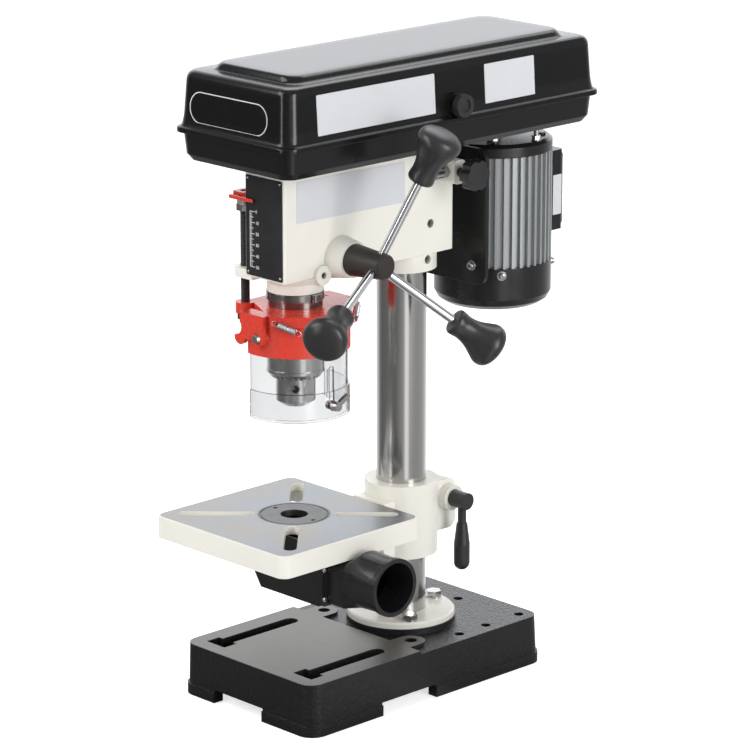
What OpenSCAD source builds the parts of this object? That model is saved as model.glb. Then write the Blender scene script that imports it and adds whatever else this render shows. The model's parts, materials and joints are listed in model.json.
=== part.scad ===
// Oscillating bench drill press, in millimetres.
// The column axis is X = Y = 0, the bench is Z = 0, the front is -Y and the operator's right is +X.

/* [Base and column] */
// Width of the cast base over its feet
base_w = 176; // [166:1:190]
// Column axis to the front edge of the base
base_front = 197; // [188:1:210]
// Column axis to the rear edge of the base
base_rear = 103; // [98:1:115]
// Height of the ground pad above the bench
base_h = 48.5; // [44:0.5:52]
// Thickness of the base walls and of its top
base_wall = 9; // [7:0.5:11]
// Height of the gaps between the feet
foot_gap_h = 12; // [9:0.5:14]
// Outside diameter of the column
column_d = 46; // [44:0.5:48]
// Diameter of the column flange
flange_d = 100; // [96:1:104]
// Thickness of the column flange
flange_t = 6; // [5:0.5:8]
// Radius of the circle of the flange bolts
flange_bolt_circle = 41; // [38:0.5:43]
// Thread diameter of the flange bolts
flange_bolt_d = 8; // [6:1:10]

/* [Head] */
// Column axis to the spindle axis
throat = 132; // [130:0.5:136]
// Underside of the head above the bench
head_z = 400; // [398:1:404]
// Half width of the head at its front
head_front_half = 26; // [25.5:0.5:28]
// Half width of the head at its rear
head_rear_half = 32; // [31.5:0.5:34]
// Spindle axis to the front face of the head
head_nose = 36; // [34:0.5:40]
// Column axis to the rear face of the head
head_back = 36; // [35:0.5:40]
// Outside radius of the socket round the column
socket_r = 32; // [31:0.5:34]

/* [Quill and feed] */
// Outside diameter of the quill
quill_d = 40; // [39:0.5:41]
// Travel of the quill
quill_travel = 50; // [40:1:52]
// Module of the rack and the pinion
rack_module = 1.5; // [1.25:0.25:1.5]
// Teeth of the pinion
pinion_teeth = 14; // [13:1:15]
// Diameter of the feed levers
lever_d = 8; // [7:0.5:9]
// Radius from the hub axis to the tip of a lever knob
lever_reach = 127; // [120:1:134]
// Outward splay of the levers
lever_splay = 24; // [21:1:26]
// Turn of the first lever from upright
lever_turn = 12; // [0:0.2:20]
// Diameter of the lever knobs
knob_d = 40; // [36:0.5:42]
// Length of the lever knobs
knob_len = 51; // [47:1:55]

/* [Chuck] */
// Diameter of the chuck sleeve
chuck_d = 52.6; // [48:0.5:56]
// Diameter of the chuck nose
chuck_nose_d = 35.6; // [34.8:0.4:37]
// Underside of the head down to the tip of the chuck
chuck_drop = 119; // [116:1:121]
// Diameter of a chuck jaw
jaw_d = 7.6; // [6.8:0.4:8]

/* [Guard] */
// Inside radius of the red guard skirt
skirt_r = 47; // [46.5:0.25:48]
// Height of the red guard skirt
skirt_h = 28; // [25:1:30]
// Thickness of the clear shields
shield_t = 1.6; // [1.2:0.2:1.8]
// Underside of the head down to the lower edge of the sliding shield
shield_drop = 125; // [122:1:128]
// Free height of the sliding shield
shield_h = 26; // [23:1:27]
// Wire diameter of the guard springs
spring_wire = 0.8; // [0.7:0.05:0.9]
// Mean diameter of the guard spring coils
spring_coil_d = 4.6; // [4.2:0.2:5]
// Coils of a guard spring
spring_coils = 11; // [9:1:12]

/* [Depth stop] */
// Diameter of the depth rod
depth_rod_d = 8; // [7:0.5:8.5]
// Width of the depth nuts across flats
depth_nut_af = 13; // [12:0.5:14]

/* [Table] */
// Width of the work table
table_w = 172; // [164:1:180]
// Depth of the work table
table_l = 168; // [162:1:174]
// Top of the work table above the bench
table_z = 177; // [174:1:180]
// Height of the table rim
table_edge = 20.5; // [19:0.5:21]
// Thickness of the table top
table_top_t = 8; // [7:0.5:9]
// Width of the table slots
table_slot_w = 12; // [10:0.5:14]
// Radius of the table insert
insert_r = 33; // [30:0.5:35]
// Diameter of the hole in the insert
insert_hole_d = 25; // [20:1:32]
// Radius of the bracket collar round the column
collar_r = 34; // [32:0.5:35]
// Outside radius of the dust port
port_r = 26; // [25:0.25:26.5]
// Length of the round part of the dust port
port_len = 34; // [28:1:38]

/* [Motor] */
// Column axis to the motor axis
motor_y = 119; // [118:0.5:122]
// Radius over the motor fins
motor_r = 54.6; // [53:0.2:55]
// Number of motor fins
motor_fins = 42; // [36:2:52]
// Width of the motor plate
motor_plate_w = 102; // [98:1:108]
// Diameter of the slide rods
slide_rod_d = 12; // [10:0.5:13]
// Column axis to each slide rod, sideways
slide_rod_x = 40; // [39.5:0.5:42]

/* [Belt drive] */
// Half width of the belt cover
cover_half = 75.5; // [74:0.5:79]
// Column axis to the front of the belt cover
cover_front = 210; // [208:0.5:216]
// Column axis to the rear of the belt cover
cover_back = 185.5; // [184:0.5:187]
// Wall of the belt cover
cover_wall = 2.4; // [2:0.2:3]
// Height of the raised middle of the lid
lid_rise = 6.5; // [5:0.5:8]
// Largest radius of the stepped pulleys
pulley_r = 48; // [46:0.5:49]
// Difference in radius between two pulley steps
pulley_step = 6; // [5:0.25:6]
// Height of one pulley step
step_h = 12; // [11:0.5:12]

/* [Clearances] */
// Gap between pieces that move against each other
gap = 0.3; // [0.2:0.05:0.4]
// Radial clearance of a running fit
run = 0.05; // [0.03:0.01:0.08]
// Thinning of gear teeth for backlash
backlash = 0.25; // [0.2:0.05:0.35]

/* [Hidden] */
$fn = 64;
cream = [0.93, 0.91, 0.82];
black = [0.10, 0.10, 0.11];
red = [0.80, 0.10, 0.09];
steel = [0.72, 0.73, 0.75];
dark = [0.22, 0.20, 0.19];
clear = [0.85, 0.92, 0.95];

// Levels of the stand
foot_h = 10;
deck_z = base_h - 3;
boss_z = deck_z + 5.5;
flange_top = boss_z + flange_t;
column_r = column_d / 2;
column_top = head_z + 92;
slot_x = 58;
pad_rear = -58;
lug_y = -44;
bench_hole_r = 5.5;
deck_hole_x = 71;
deck_hole_r = 4.5;
deck_hole_y = [85, 41, 6];

// Levels of the head
head_top = head_z + 103.5;
front_edge_r = 2.5;
nose_z = head_z - 14.5;
socket_z = head_z - 16;
quill_r = quill_d / 2;
nose_r = quill_r + 5.5;
sy = -throat;

// Rack and pinion
pinion_pitch_r = rack_module * pinion_teeth / 2;
pinion_y = sy + quill_r - rack_module + pinion_pitch_r;
pinion_z = head_z + 15;
pinion_tip_r = pinion_pitch_r + rack_module;
rack_pitch = PI * rack_module;
pinion_half = 8;
feed_shaft_r = 8;
hub_x = head_rear_half + 14;
hub_end = 86.5;
hub_r = 14.5;
lever_x = 74;

// Quill and spindle
collar_z = nose_z - gap - 13;
plate_z = collar_z - 10;
quill_z = plate_z - 4;
quill_top = head_z + 66;
spindle_r = 7.5;
spline_root_r = 5;
spline_tip_r = 6.5;
spline_w = 2.4;
bearing_h = 9;
spindle_top = head_top + 58;

// Drive sleeve and oscillating gear
sleeve_r = 10;
sleeve_z = quill_top + 3.5;
gear_module = 1.25;
sleeve_teeth = 16;
wheel_teeth = 36;
gear_z = sleeve_z + 3;
gear_h = 10;
wheel_y = sy + gear_module * (sleeve_teeth + wheel_teeth) / 2;
wheel_tip_r = gear_module * (wheel_teeth / 2 + 1);
pulley_bearing_r = 18;
pulley_bearing_z = head_top - 2 * bearing_h - 1;

// Belt drive
pulley_z = head_top + 8;
belt_z = pulley_z + 2.5 * step_h;
pulley_mid_r = pulley_r - 2 * pulley_step;
groove_depth = 8;
pan_z = head_top;
pan_inset = 10;
pan_bend = pan_z + 5.5;
rim_z = pan_z + 24.7;
lid_z = rim_z + gap;
lid_flange_t = 5;
lid_shoulder = lid_z + 46.5;
lid_crown = lid_shoulder + 8;
lid_top = lid_crown + lid_rise;
hinge_x = -cover_half - 4.5;
hinge_z = rim_z + gap / 2;
hinge_y = [-110, 70];
knob_y = -1.5;
knob_z = lid_z + lid_flange_t + 10.3;
knob_x = cover_half;

// Motor
slide_z = head_z + 76;
slide_y = 22;
lug_x = slide_rod_x + 12;
plate_y = 57;
plate_t = 4;
case_z = head_z - 27;
case_h = 104;
cap_h = 40;
top_h = 12;
shaft_r = 7;

// Chuck
chuck_top = plate_z - 10;
chuck_z = head_z - chuck_drop;
sleeve_z0 = chuck_z + 26;
sleeve_z1 = sleeve_z0 + 34;
chuck_hub_r = 20;
jaw_lean = 11.5;
jaw_pin_r = 3.2;
jaw_z = chuck_z + 2;
jaw_len = 46;

// Guard
pivot_x = 8.4;
pivot_z = plate_z - 11;
skirt_t = 2;
skirt_top = plate_z - gap;
skirt_z = skirt_top - skirt_h;
skirt_from = -12;
skirt_sweep = 184;
ear_front = skirt_r + skirt_t + 0.5;
arm_front = ear_front + 4.5;
upper_r = skirt_r - gap - shield_t;
lower_r = upper_r + shield_t + gap;
shield_z = head_z - shield_drop;
wing_z = shield_z + 13;
shield_slide = skirt_z - shield_z - shield_h - 2;

// Depth stop
rod_x = -37;
rod_y = sy - 26;
stop_z = head_z + 5;
nut_z = stop_z + quill_travel + 0.5;
nut_h = 6;

// Table
table_front = -59 - table_l;
table_rear = -59;
rim_bottom = table_z - table_edge;
top_under = table_z - table_top_t;
tilt_z = table_z - 37;
tilt_y = -46;
tilt_hub_r = 20;
tilt_hub_y = -76;
tilt_bolt_r = 6;
clamp_y = 41;
clamp_z = table_z - 17;
clamp_x = 39;
hopper_x0 = -36;
hopper_x1 = 66;
hopper_half = 32;
hopper_z = table_z - 64;
port_z = table_z - 38.5;
port_x = table_w / 2 + 10;
port_wall = 2.2;
seat_depth = 6;

// Turns of the Z direction
module along_x() {
    rotate([0, 90, 0]) children();
}

module along_y() {
    rotate([-90, 0, 0]) children();
}

module both_sides() {
    children();
    mirror([1, 0, 0]) children();
}

// Flat outlines
module rounded(x0, x1, y0, y1, r) {
    translate([x0 + r, y0]) square([x1 - x0 - 2 * r, y1 - y0]);
    translate([x0, y0 + r]) square([x1 - x0, y1 - y0 - 2 * r]);
    for (x = [x0 + r, x1 - r], y = [y0 + r, y1 - r])
        translate([x, y]) circle(r);
}

module slot(w, l) {
    translate([-w / 2, 0]) square([w, l]);
    circle(d = w);
    translate([0, l]) circle(d = w);
}

module hexagon(af) {
    circle(d = af / cos(30), $fn = 6);
}

module ring(r_out, r_in, h) {
    difference() {
        cylinder(r = r_out, h = h);
        translate([0, 0, -1]) cylinder(r = r_in, h = h + 2);
    }
}

// A drafted block between two rounded outlines, each [x0, x1, y0, y1, r]
function inset_box(b, w, r) = [b[0] + w, b[1] - w, b[2] + w, b[3] - w, r];
module drafted(low, high, z0, z1) {
    hull() {
        translate([0, 0, z0]) linear_extrude(0.01) rounded(low[0], low[1], low[2], low[3], low[4]);
        translate([0, 0, z1 - 0.01]) linear_extrude(0.01)
            rounded(high[0], high[1], high[2], high[3], high[4]);
    }
}

// An involute gear outline with its first tooth on +X
function roll(rb, r) = sqrt(max(0, r * r / (rb * rb) - 1)) * 180 / PI;
function involute_angle(rb, r) = roll(rb, r) - atan(roll(rb, r) * PI / 180);
function gear_points(m, z) = let(
        rp = m * z / 2,
        rb = rp * cos(20),
        r0 = rp - 1.25 * m,
        r1 = rp + m,
        rs = max(rb, r0),
        at_pitch = 90 / z - backlash / rp * 45 / PI + involute_angle(rb, rp))
    [for (k = [0 : z - 1]) each concat(
        [let(a = at_pitch - involute_angle(rb, rs)) r0 * [cos(360 * k / z - a), sin(360 * k / z - a)]],
        [for (i = [0 : 4]) let(r = rs + (r1 - rs) * i / 4, a = at_pitch - involute_angle(rb, r))
            r * [cos(360 * k / z - a), sin(360 * k / z - a)]],
        [for (i = [4 : -1 : 0]) let(r = rs + (r1 - rs) * i / 4, a = at_pitch - involute_angle(rb, r))
            r * [cos(360 * k / z + a), sin(360 * k / z + a)]],
        [let(a = at_pitch - involute_angle(rb, rs)) r0 * [cos(360 * k / z + a), sin(360 * k / z + a)]])];

// A swept tube along a path, its rings carried along without twist
function unit(v) = v / norm(v);
function carry(n, t) = unit(n - (n * t) * t);
function tangents(path) = [for (i = [0 : len(path) - 1])
    unit(path[min(i + 1, len(path) - 1)] - path[max(i - 1, 0)])];
function normals(t, start) = [for (i = 0, n = carry(start, t[0]); i < len(t);
    i = i + 1, n = i < len(t) ? carry(n, t[i]) : n) n];

module swept_tube(path, r, start, sides = 6) {
    t = tangents(path);
    n = normals(t, start);
    count = len(path);
    points = [for (i = [0 : count - 1], k = [0 : sides - 1])
        path[i] + r * (cos(360 * k / sides) * n[i] + sin(360 * k / sides) * cross(t[i], n[i]))];
    sides_faces = [for (i = [0 : count - 2], k = [0 : sides - 1]) let(k1 = (k + 1) % sides) each [
        [i * sides + k, (i + 1) * sides + k, (i + 1) * sides + k1],
        [i * sides + k, (i + 1) * sides + k1, i * sides + k1]]];
    first = [for (k = [1 : sides - 2]) [0, k, k + 1]];
    last = [for (k = [1 : sides - 2]) (count - 1) * sides * [1, 1, 1] + [0, k + 1, k]];
    polyhedron(points = points, faces = concat(sides_faces, first, last));
}

// Stand
module base_outline(inset) {
    rounded(-base_w / 2 + inset, base_w / 2 - inset, -base_front + inset, base_rear - inset, 16);
}

module pad_outline() {
    difference() {
        union() {
            rounded(-base_w / 2 + 3, base_w / 2 - 3, -base_front + 2, pad_rear, 14);
            translate([-base_w / 2 + 3, pad_rear - 20]) square([base_w - 6, 20]);
            for (s = [-1, 1])
                translate([s * slot_x, lug_y]) {
                    circle(r = 13);
                    translate([-13, -20]) square([26, 20]);
                }
        }
        for (s = [-1, 1])
            translate([s * slot_x, 0]) {
                translate([0, lug_y]) circle(r = bench_hole_r);
                translate([-7, -base_front + 31]) square([14, base_front - 31 - 87]);
                translate([0, -87]) circle(r = 7);
                translate([-12, -base_front + 17]) square([24, 15]);
            }
    }
}

module base() {
    low = [-base_w / 2 + 1.5, base_w / 2 - 1.5, -base_front + 1.5, base_rear - 1.5, 15];
    high = [-base_w / 2 + 3, base_w / 2 - 3, -base_front + 2, base_rear - 3, 14];
    color(black) difference() {
        union() {
            linear_extrude(foot_h) base_outline(0);
            difference() {
                drafted(low, high, foot_h - 1, deck_z);
                translate([0, 0, deck_z - base_wall - 1])
                    linear_extrude(base_wall + 2)
                        for (s = [-1, 1])
                            translate([s * slot_x, 0]) {
                                translate([-7, -base_front + 31]) square([14, base_front - 31 - 87]);
                                translate([0, -87]) circle(r = 7);
                                translate([-12, -base_front + 17]) square([24, 15]);
                                translate([0, lug_y]) circle(r = bench_hole_r);
                            }
            }
            translate([0, 0, deck_z - 1]) linear_extrude(base_h - deck_z + 1) pad_outline();
            translate([0, 0, deck_z - 1]) cylinder(r = flange_d / 2 + 1, h = boss_z - deck_z + 1);
        }
        translate([0, 0, -1])
            linear_extrude(deck_z - base_wall + 1)
                rounded(-base_w / 2 + base_wall + 2, base_w / 2 - base_wall - 2,
                    -base_front + base_wall + 2, base_rear - base_wall - 2, 10);
        translate([-42, -base_front - 1, -1]) cube([64, base_wall + 12, foot_gap_h + 1]);
        translate([-32, base_rear - base_wall - 11, -1]) cube([64, base_wall + 12, foot_gap_h + 1]);
        for (x = [-base_w / 2 - 1, base_w / 2 - base_wall - 11])
            translate([x, -108, -1]) cube([base_wall + 12, 68, foot_gap_h + 1]);
        for (s = [-1, 1], y = deck_hole_y)
            translate([s * deck_hole_x, y, deck_z - base_wall - 1])
                cylinder(r = deck_hole_r, h = base_wall + 2);
        translate([0, 76, deck_z - base_wall - 1]) cylinder(r = deck_hole_r, h = base_wall + 2);
        for (a = [-33, 87, 207])
            rotate(a) translate([flange_bolt_circle, 0, deck_z - base_wall - 1])
                cylinder(d = flange_bolt_d + 2 * run, h = 30);
        translate([0, 0, deck_z - base_wall - 1]) cylinder(r = column_r + run, h = 30);
    }
}

module column_flange() {
    color(cream) difference() {
        union() {
            translate([0, 0, boss_z]) cylinder(d = flange_d, h = flange_t - 1.5);
            translate([0, 0, flange_top - 1.5]) cylinder(d1 = flange_d, d2 = flange_d - 3, h = 1.5);
        }
        translate([0, 0, boss_z - 1]) cylinder(r = column_r + run, h = flange_t + 2);
        for (a = [-33, 87, 207])
            rotate(a) translate([flange_bolt_circle, 0, boss_z - 1])
                cylinder(d = flange_bolt_d + 2 * run, h = flange_t + 2);
    }
}

module flange_bolts() {
    color(steel)
        for (a = [-33, 87, 207])
            rotate(a) translate([flange_bolt_circle, 0, 0]) {
                translate([0, 0, deck_z - base_wall])
                    cylinder(d = flange_bolt_d, h = flange_top + 2 - deck_z + base_wall);
                translate([0, 0, flange_top]) cylinder(d = flange_bolt_d * 1.9, h = 1.4);
                translate([0, 0, flange_top + 1.4]) linear_extrude(4.6) hexagon(flange_bolt_d * 1.6);
            }
}

module column() {
    color(steel) difference() {
        translate([0, 0, deck_z - base_wall]) cylinder(r = column_r, h = column_top - deck_z + base_wall);
        translate([0, 0, deck_z - base_wall - 1]) cylinder(r = column_r - 4, h = column_top);
    }
}

// Head casting, with its bores and the gear chamber
module head_outline() {
    hull()
        for (s = [-1, 1]) {
            translate([s * (head_front_half - front_edge_r), sy - head_nose + front_edge_r, 0])
                cylinder(r = front_edge_r, h = head_top - head_z, $fn = 32);
            translate([s * (head_rear_half - 5), -8, 0]) cylinder(r = 5, h = head_top - head_z, $fn = 32);
            translate([s * (head_rear_half - 5), head_back - 5, 0])
                cylinder(r = 5, h = head_top - head_z, $fn = 32);
        }
}

module slide_lug() {
    difference() {
        translate([head_rear_half - 8, 0, 0]) along_x()
            linear_extrude(lug_x - head_rear_half + 8)
                rounded(-slide_z - 11, -slide_z + 11, slide_y - 7, slide_y + 7, 4);
        translate([slide_rod_x, slide_y - 20, slide_z]) along_y()
            cylinder(d = slide_rod_d + 2 * run, h = 40);
        translate([slide_rod_x, slide_y, slide_z]) along_x() cylinder(r = 4 + run, h = 30);
    }
}

module depth_lug() {
    translate([0, 0, stop_z - 9]) linear_extrude(9) difference() {
        union() {
            translate([rod_x, rod_y]) circle(r = 9.5);
            translate([rod_x, rod_y - 9.5]) square([-rod_x - head_front_half + 8, 19]);
        }
        translate([rod_x, rod_y]) circle(d = depth_rod_d + 2 * gap);
    }
}

module head_casting() {
    color(cream) difference() {
        union() {
            translate([0, 0, head_z]) head_outline();
            translate([0, sy, nose_z]) cylinder(r = nose_r, h = head_z - nose_z + 4);
            translate([0, sy, head_z - 6]) cylinder(r1 = nose_r, r2 = nose_r + 5, h = 6.5);
            translate([0, 0, socket_z]) cylinder(r = socket_r, h = head_z - socket_z + 4);
            translate([head_front_half - 4, pinion_y, pinion_z]) along_x()
                cylinder(r1 = 20.5, r2 = 16.5, h = hub_x - gap - head_front_half + 4);
            translate([-head_rear_half - 1, pinion_y, pinion_z]) along_x() cylinder(r = 24, h = 12);
            translate([head_front_half - 6, sy + 6, head_z + 2]) along_x() cylinder(r = 9, h = 11);
            both_sides() slide_lug();
            depth_lug();
        }
        translate([0, sy, nose_z - 1]) cylinder(r = quill_r + run, h = quill_top + 4 - nose_z + 1);
        translate([0, 0, socket_z - 1]) cylinder(r = column_r + run, h = column_top - socket_z + 1);
        translate([-head_rear_half - 30, pinion_y, pinion_z]) along_x()
            cylinder(r = pinion_tip_r + gap, h = head_rear_half + 30 + pinion_half + gap);
        translate([0, pinion_y, pinion_z]) along_x() cylinder(r = feed_shaft_r + run, h = 60);
        translate([0, sy, sleeve_z - 2]) cylinder(r = sleeve_r + gear_module + 1, h = head_top);
        translate([0, sy, pulley_bearing_z]) cylinder(r = pulley_bearing_r, h = 60);
        translate([0, wheel_y, gear_z - gap]) cylinder(r = wheel_tip_r + gap, h = gear_h + 2 * gap);
        translate([0, wheel_y, gear_z]) cylinder(r = 13.9, h = gear_h + 8);
        translate([0, wheel_y, gear_z - 14]) cylinder(r = 5 + run, h = 36);
        translate([0, sy + 6, head_z + 2]) along_x() cylinder(r = 3, h = 50);
        translate([0, 2, socket_z + 11]) along_x() cylinder(r = 4, h = 50);
        translate([0, 5, head_z + 28]) along_x() cylinder(r = 4, h = 50);
        translate([rod_x, rod_y, stop_z - 10]) cylinder(d = depth_rod_d + 2 * gap, h = 90);
    }
}

module scale_plate() {
    half = head_front_half - front_edge_r - gap;
    color(black) translate([0, sy - head_nose, 0]) rotate([90, 0, 0])
        linear_extrude(1) rounded(-half, half, head_z + 1.5, head_z + 91.5, 1.5);
}

// Return spring on the left of the feed shaft
spring_housing_x = -head_rear_half - 1;
module spring_housing() {
    color(black) translate([spring_housing_x, pinion_y, pinion_z]) mirror([1, 0, 0])
        along_x() difference() {
        union() {
            cylinder(r = 23, h = 13);
            translate([0, 0, 13]) cylinder(r1 = 23, r2 = 21, h = 2);
            for (a = [0 : 30 : 330])
                rotate(a) translate([22, 0, 0]) cylinder(r = 2.2, h = 13);
        }
        translate([0, 0, -1]) cylinder(r = 20, h = 13);
        cylinder(r = 4.5, h = 20);
    }
}

spiral_turns = 4;
function spiral(a) = 10.5 + 2 * a / 360;
module return_spring() {
    steps = spiral_turns * 20;
    outer = [for (i = [0 : steps]) let(a = 18 * i) (spiral(a) + 0.35) * [cos(a), sin(a)]];
    inner = [for (i = [steps : -1 : 0]) let(a = 18 * i) (spiral(a) - 0.35) * [cos(a), sin(a)]];
    color(steel) translate([spring_housing_x - 10.5, pinion_y, pinion_z]) along_x()
        linear_extrude(9) union() {
            polygon(concat(outer, inner));
            translate([9.2, -1]) square([1.6, 2]);
            translate([spiral(360 * spiral_turns), -1]) square([1.5, 2]);
        }
}

switch_y = -47;
switch_z = head_z + 45;
module switch_box() {
    color(black) difference() {
        translate([-head_rear_half - 15, switch_y, switch_z]) along_x() linear_extrude(15)
            rounded(-20, 20, -25, 25, 4);
        translate([-head_rear_half - 16, switch_y - 14, switch_z - 14]) cube([12, 28, 28]);
    }
}

module switch_rocker() {
    color(red) translate([-head_rear_half - 9, switch_y - 13.5, switch_z]) along_y() union() {
        linear_extrude(27)
            polygon([[3, -5], [0, -12], [-6, -12], [-9, -11], [-7, 0], [-9, 11], [-6, 12], [0, 12], [3, 5]]);
        cylinder(r = 3.4, h = 27);
    }
}

// Belt drive
function pulley_radius(i, rising) = rising ? pulley_r - pulley_step * (4 - i) : pulley_r - pulley_step * i;
function step_points(i, rising) = let(r = pulley_radius(i, rising), z = i * step_h, f = step_h / 12)
    [[r, z + 0.3], [r, z + 1.2 * f], [r - groove_depth, z + 3.2 * f], [r - groove_depth, z + 8.8 * f],
        [r, z + 10.8 * f], [r, z + step_h - 0.3]];

module stepped_pulley(rising, bore) {
    rotate_extrude($fn = 96)
        polygon(concat([[bore, 0]], [for (i = [0 : 4]) each step_points(i, rising)], [[bore, 5 * step_h]]));
}

module spindle_pulley() {
    color(steel) translate([0, sy, pulley_z]) stepped_pulley(true, sleeve_r);
}

module motor_pulley() {
    color(steel) translate([0, motor_y, pulley_z]) stepped_pulley(false, shaft_r);
}

module belt_section() {
    f = step_h / 12;
    top = pulley_mid_r + 0.6;
    low = pulley_mid_r - groove_depth + 0.8;
    polygon([[low, -2.5 * f], [top, -4.4 * f], [top, 4.4 * f], [low, 2.5 * f]]);
}

module v_belt() {
    color(black) union() {
        translate([0, motor_y, belt_z]) rotate_extrude(angle = 180, $fn = 96) belt_section();
        translate([0, sy, belt_z]) rotate(180) rotate_extrude(angle = 180, $fn = 96) belt_section();
        for (s = [-1, 1])
            translate([0, sy, belt_z]) rotate([90, 0, 180]) linear_extrude(motor_y - sy)
                if (s > 0) belt_section(); else mirror([1, 0]) belt_section();
    }
}

module bearing(r_out, r_in, h) {
    difference() {
        ring(r_out, r_in, h);
        for (z = [-1, h - 0.6])
            translate([0, 0, z]) ring(r_out - 2.4, r_in + 2.2, 1.6);
    }
}

module pulley_bearings() {
    color(steel)
        for (k = [0, 1])
            translate([0, sy, pulley_bearing_z + k * (bearing_h + 1)])
                bearing(pulley_bearing_r, sleeve_r + run, bearing_h);
}

module spline(c) {
    circle(r = spline_root_r + c);
    for (a = [0 : 60 : 300])
        rotate(a) translate([0, -spline_w / 2 - c]) square([spline_tip_r + c, spline_w + 2 * c]);
}

module drive_sleeve() {
    color(steel) translate([0, sy, 0]) difference() {
        union() {
            translate([0, 0, sleeve_z]) cylinder(r = sleeve_r - 2, h = pulley_bearing_z - sleeve_z);
            translate([0, 0, pulley_bearing_z])
                cylinder(r = sleeve_r, h = pulley_z + 5 * step_h - pulley_bearing_z);
            translate([0, 0, pulley_z + 5 * step_h]) linear_extrude(4) hexagon(27);
            translate([0, 0, gear_z]) linear_extrude(gear_h)
                polygon(gear_points(gear_module, sleeve_teeth));
        }
        translate([0, 0, sleeve_z - 1]) linear_extrude(120) spline(2 * run);
    }
}

module oscillator_gear() {
    turn = 270 + 180 / wheel_teeth;
    color(steel) translate([0, wheel_y, gear_z]) union() {
        rotate(turn) linear_extrude(gear_h) polygon(gear_points(gear_module, wheel_teeth));
        translate([0, 0, -13.5]) cylinder(r = 5, h = 35);
        difference() {
            translate([0, 0, gear_h - 1]) ring(13.5, 9, 8);
            translate([0, 0, gear_h + 4]) rotate([8, 0, 0]) translate([-20, -20, 0]) cube([40, 40, 20]);
        }
    }
}

module lid_knuckles(shift) {
    for (y = hinge_y)
        translate([hinge_x, y + shift, hinge_z]) along_y() cylinder(r = 4, h = 14 - gap);
}

module belt_pan() {
    rim = [-cover_half, cover_half, -cover_front, cover_back];
    low = inset_box(rim, pan_inset, 12);
    bend = inset_box(rim, 6.2, 13);
    high = inset_box(rim, 4.4, 14);
    w = cover_wall;
    color(black) difference() {
        union() {
            drafted(low, bend, pan_z, pan_bend);
            drafted(bend, high, pan_bend, rim_z);
            lid_knuckles(-14);
            for (y = hinge_y)
                translate([hinge_x, y - 14, rim_z - 4]) cube([10, 14 - gap, 4]);
        }
        drafted(inset_box(low, w, 11), inset_box(bend, w, 12), pan_z + w, pan_bend + w);
        drafted(inset_box(bend, w, 12), inset_box(high, w, 13), pan_bend + w - 0.1, rim_z + 0.01);
        translate([0, sy, pan_z - 1]) cylinder(r = sleeve_r + 4, h = 10);
        translate([0, motor_y - 14, pan_z - 1]) linear_extrude(10) slot(2 * shaft_r + 8, 16);
        for (y = hinge_y)
            translate([hinge_x, y - 20, hinge_z]) along_y() cylinder(r = 2, h = 40);
    }
}

module lid_hinge_pins() {
    color(steel)
        for (y = hinge_y)
            translate([hinge_x, y - 15, hinge_z]) along_y() cylinder(r = 2, h = 30);
}

module belt_lid() {
    rim = [-cover_half, cover_half, -cover_front, cover_back];
    w = cover_wall;
    low = inset_box(rim, 4, 13);
    high = inset_box(rim, 7, 12);
    brow = inset_box(rim, 9.3, 12);
    crown = inset_box(rim, 14, 12);
    foot = [-cover_half + 20, cover_half - 20, -cover_front + 26, cover_back - 27, 16];
    peak = [-cover_half + 25, cover_half - 25, -cover_front + 29, cover_back - 29, 16];
    brow_z = lid_crown - 2.5;
    color(black) difference() {
        union() {
            translate([0, 0, lid_z])
                linear_extrude(lid_flange_t) rounded(-cover_half, cover_half, -cover_front, cover_back, 14);
            drafted(low, high, lid_z, lid_shoulder);
            drafted(high, brow, lid_shoulder, brow_z);
            drafted(brow, crown, brow_z, lid_crown);
            drafted(foot, peak, lid_crown - 1, lid_top);
            lid_knuckles(0);
            for (y = hinge_y)
                translate([hinge_x, y, lid_z]) cube([10, 14 - gap, 4]);
            translate([knob_x - 10, knob_y, knob_z]) along_x() cylinder(r = 9, h = 10);
        }
        drafted(inset_box(low, w, 12), inset_box(high, w, 11), lid_z - 0.01, lid_shoulder);
        drafted(inset_box(high, w, 11), inset_box(crown, w, 11), lid_shoulder - 0.1, lid_crown - w);
        drafted(inset_box(foot, w, 15), inset_box(peak, w, 15), lid_crown - w - 1, lid_top - w);
        translate([knob_x - 20, knob_y, knob_z]) along_x() cylinder(r = 3 + run, h = 40);
        for (y = hinge_y)
            translate([hinge_x, y - 20, hinge_z]) along_y() cylinder(r = 2 + run, h = 40);
    }
}

module lid_knob() {
    color(black) translate([knob_x, knob_y, knob_z]) along_x() difference() {
        union() {
            translate([0, 0, gap]) cylinder(r1 = 11, r2 = 10.2, h = 6.5);
            translate([0, 0, -13]) cylinder(r = 3, h = 14);
            translate([0, 0, -13]) linear_extrude(2) rounded(-4, 16, -4, 4, 2);
        }
        translate([0, 0, 5]) cylinder(r = 6, h = 5);
    }
}

// Quill group
module quill() {
    tip = quill_r + 0.6;
    pitch_r = quill_r - rack_module;
    root = pitch_r - 1.25 * rack_module;
    half = rack_pitch / 4 + backlash / 4;
    top_half = half + (tip - pitch_r) * tan(20);
    root_half = half - (pitch_r - root) * tan(20);
    color(steel) translate([0, sy, 0]) difference() {
        translate([0, 0, quill_z]) cylinder(r = quill_r, h = quill_top - quill_z);
        translate([0, 0, quill_z - 1]) cylinder(r = 16, h = bearing_h + 1);
        translate([0, 0, quill_top - bearing_h]) cylinder(r = 14, h = bearing_h + 1);
        translate([0, 0, quill_z]) cylinder(r = 10, h = quill_top - quill_z);
        for (i = [-3 : 13])
            translate([-9, 0, pinion_z + i * rack_pitch]) rotate([90, 0, 90]) linear_extrude(18)
                polygon([[root, -root_half], [tip, -top_half], [tip, top_half], [root, root_half]]);
    }
}

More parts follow.
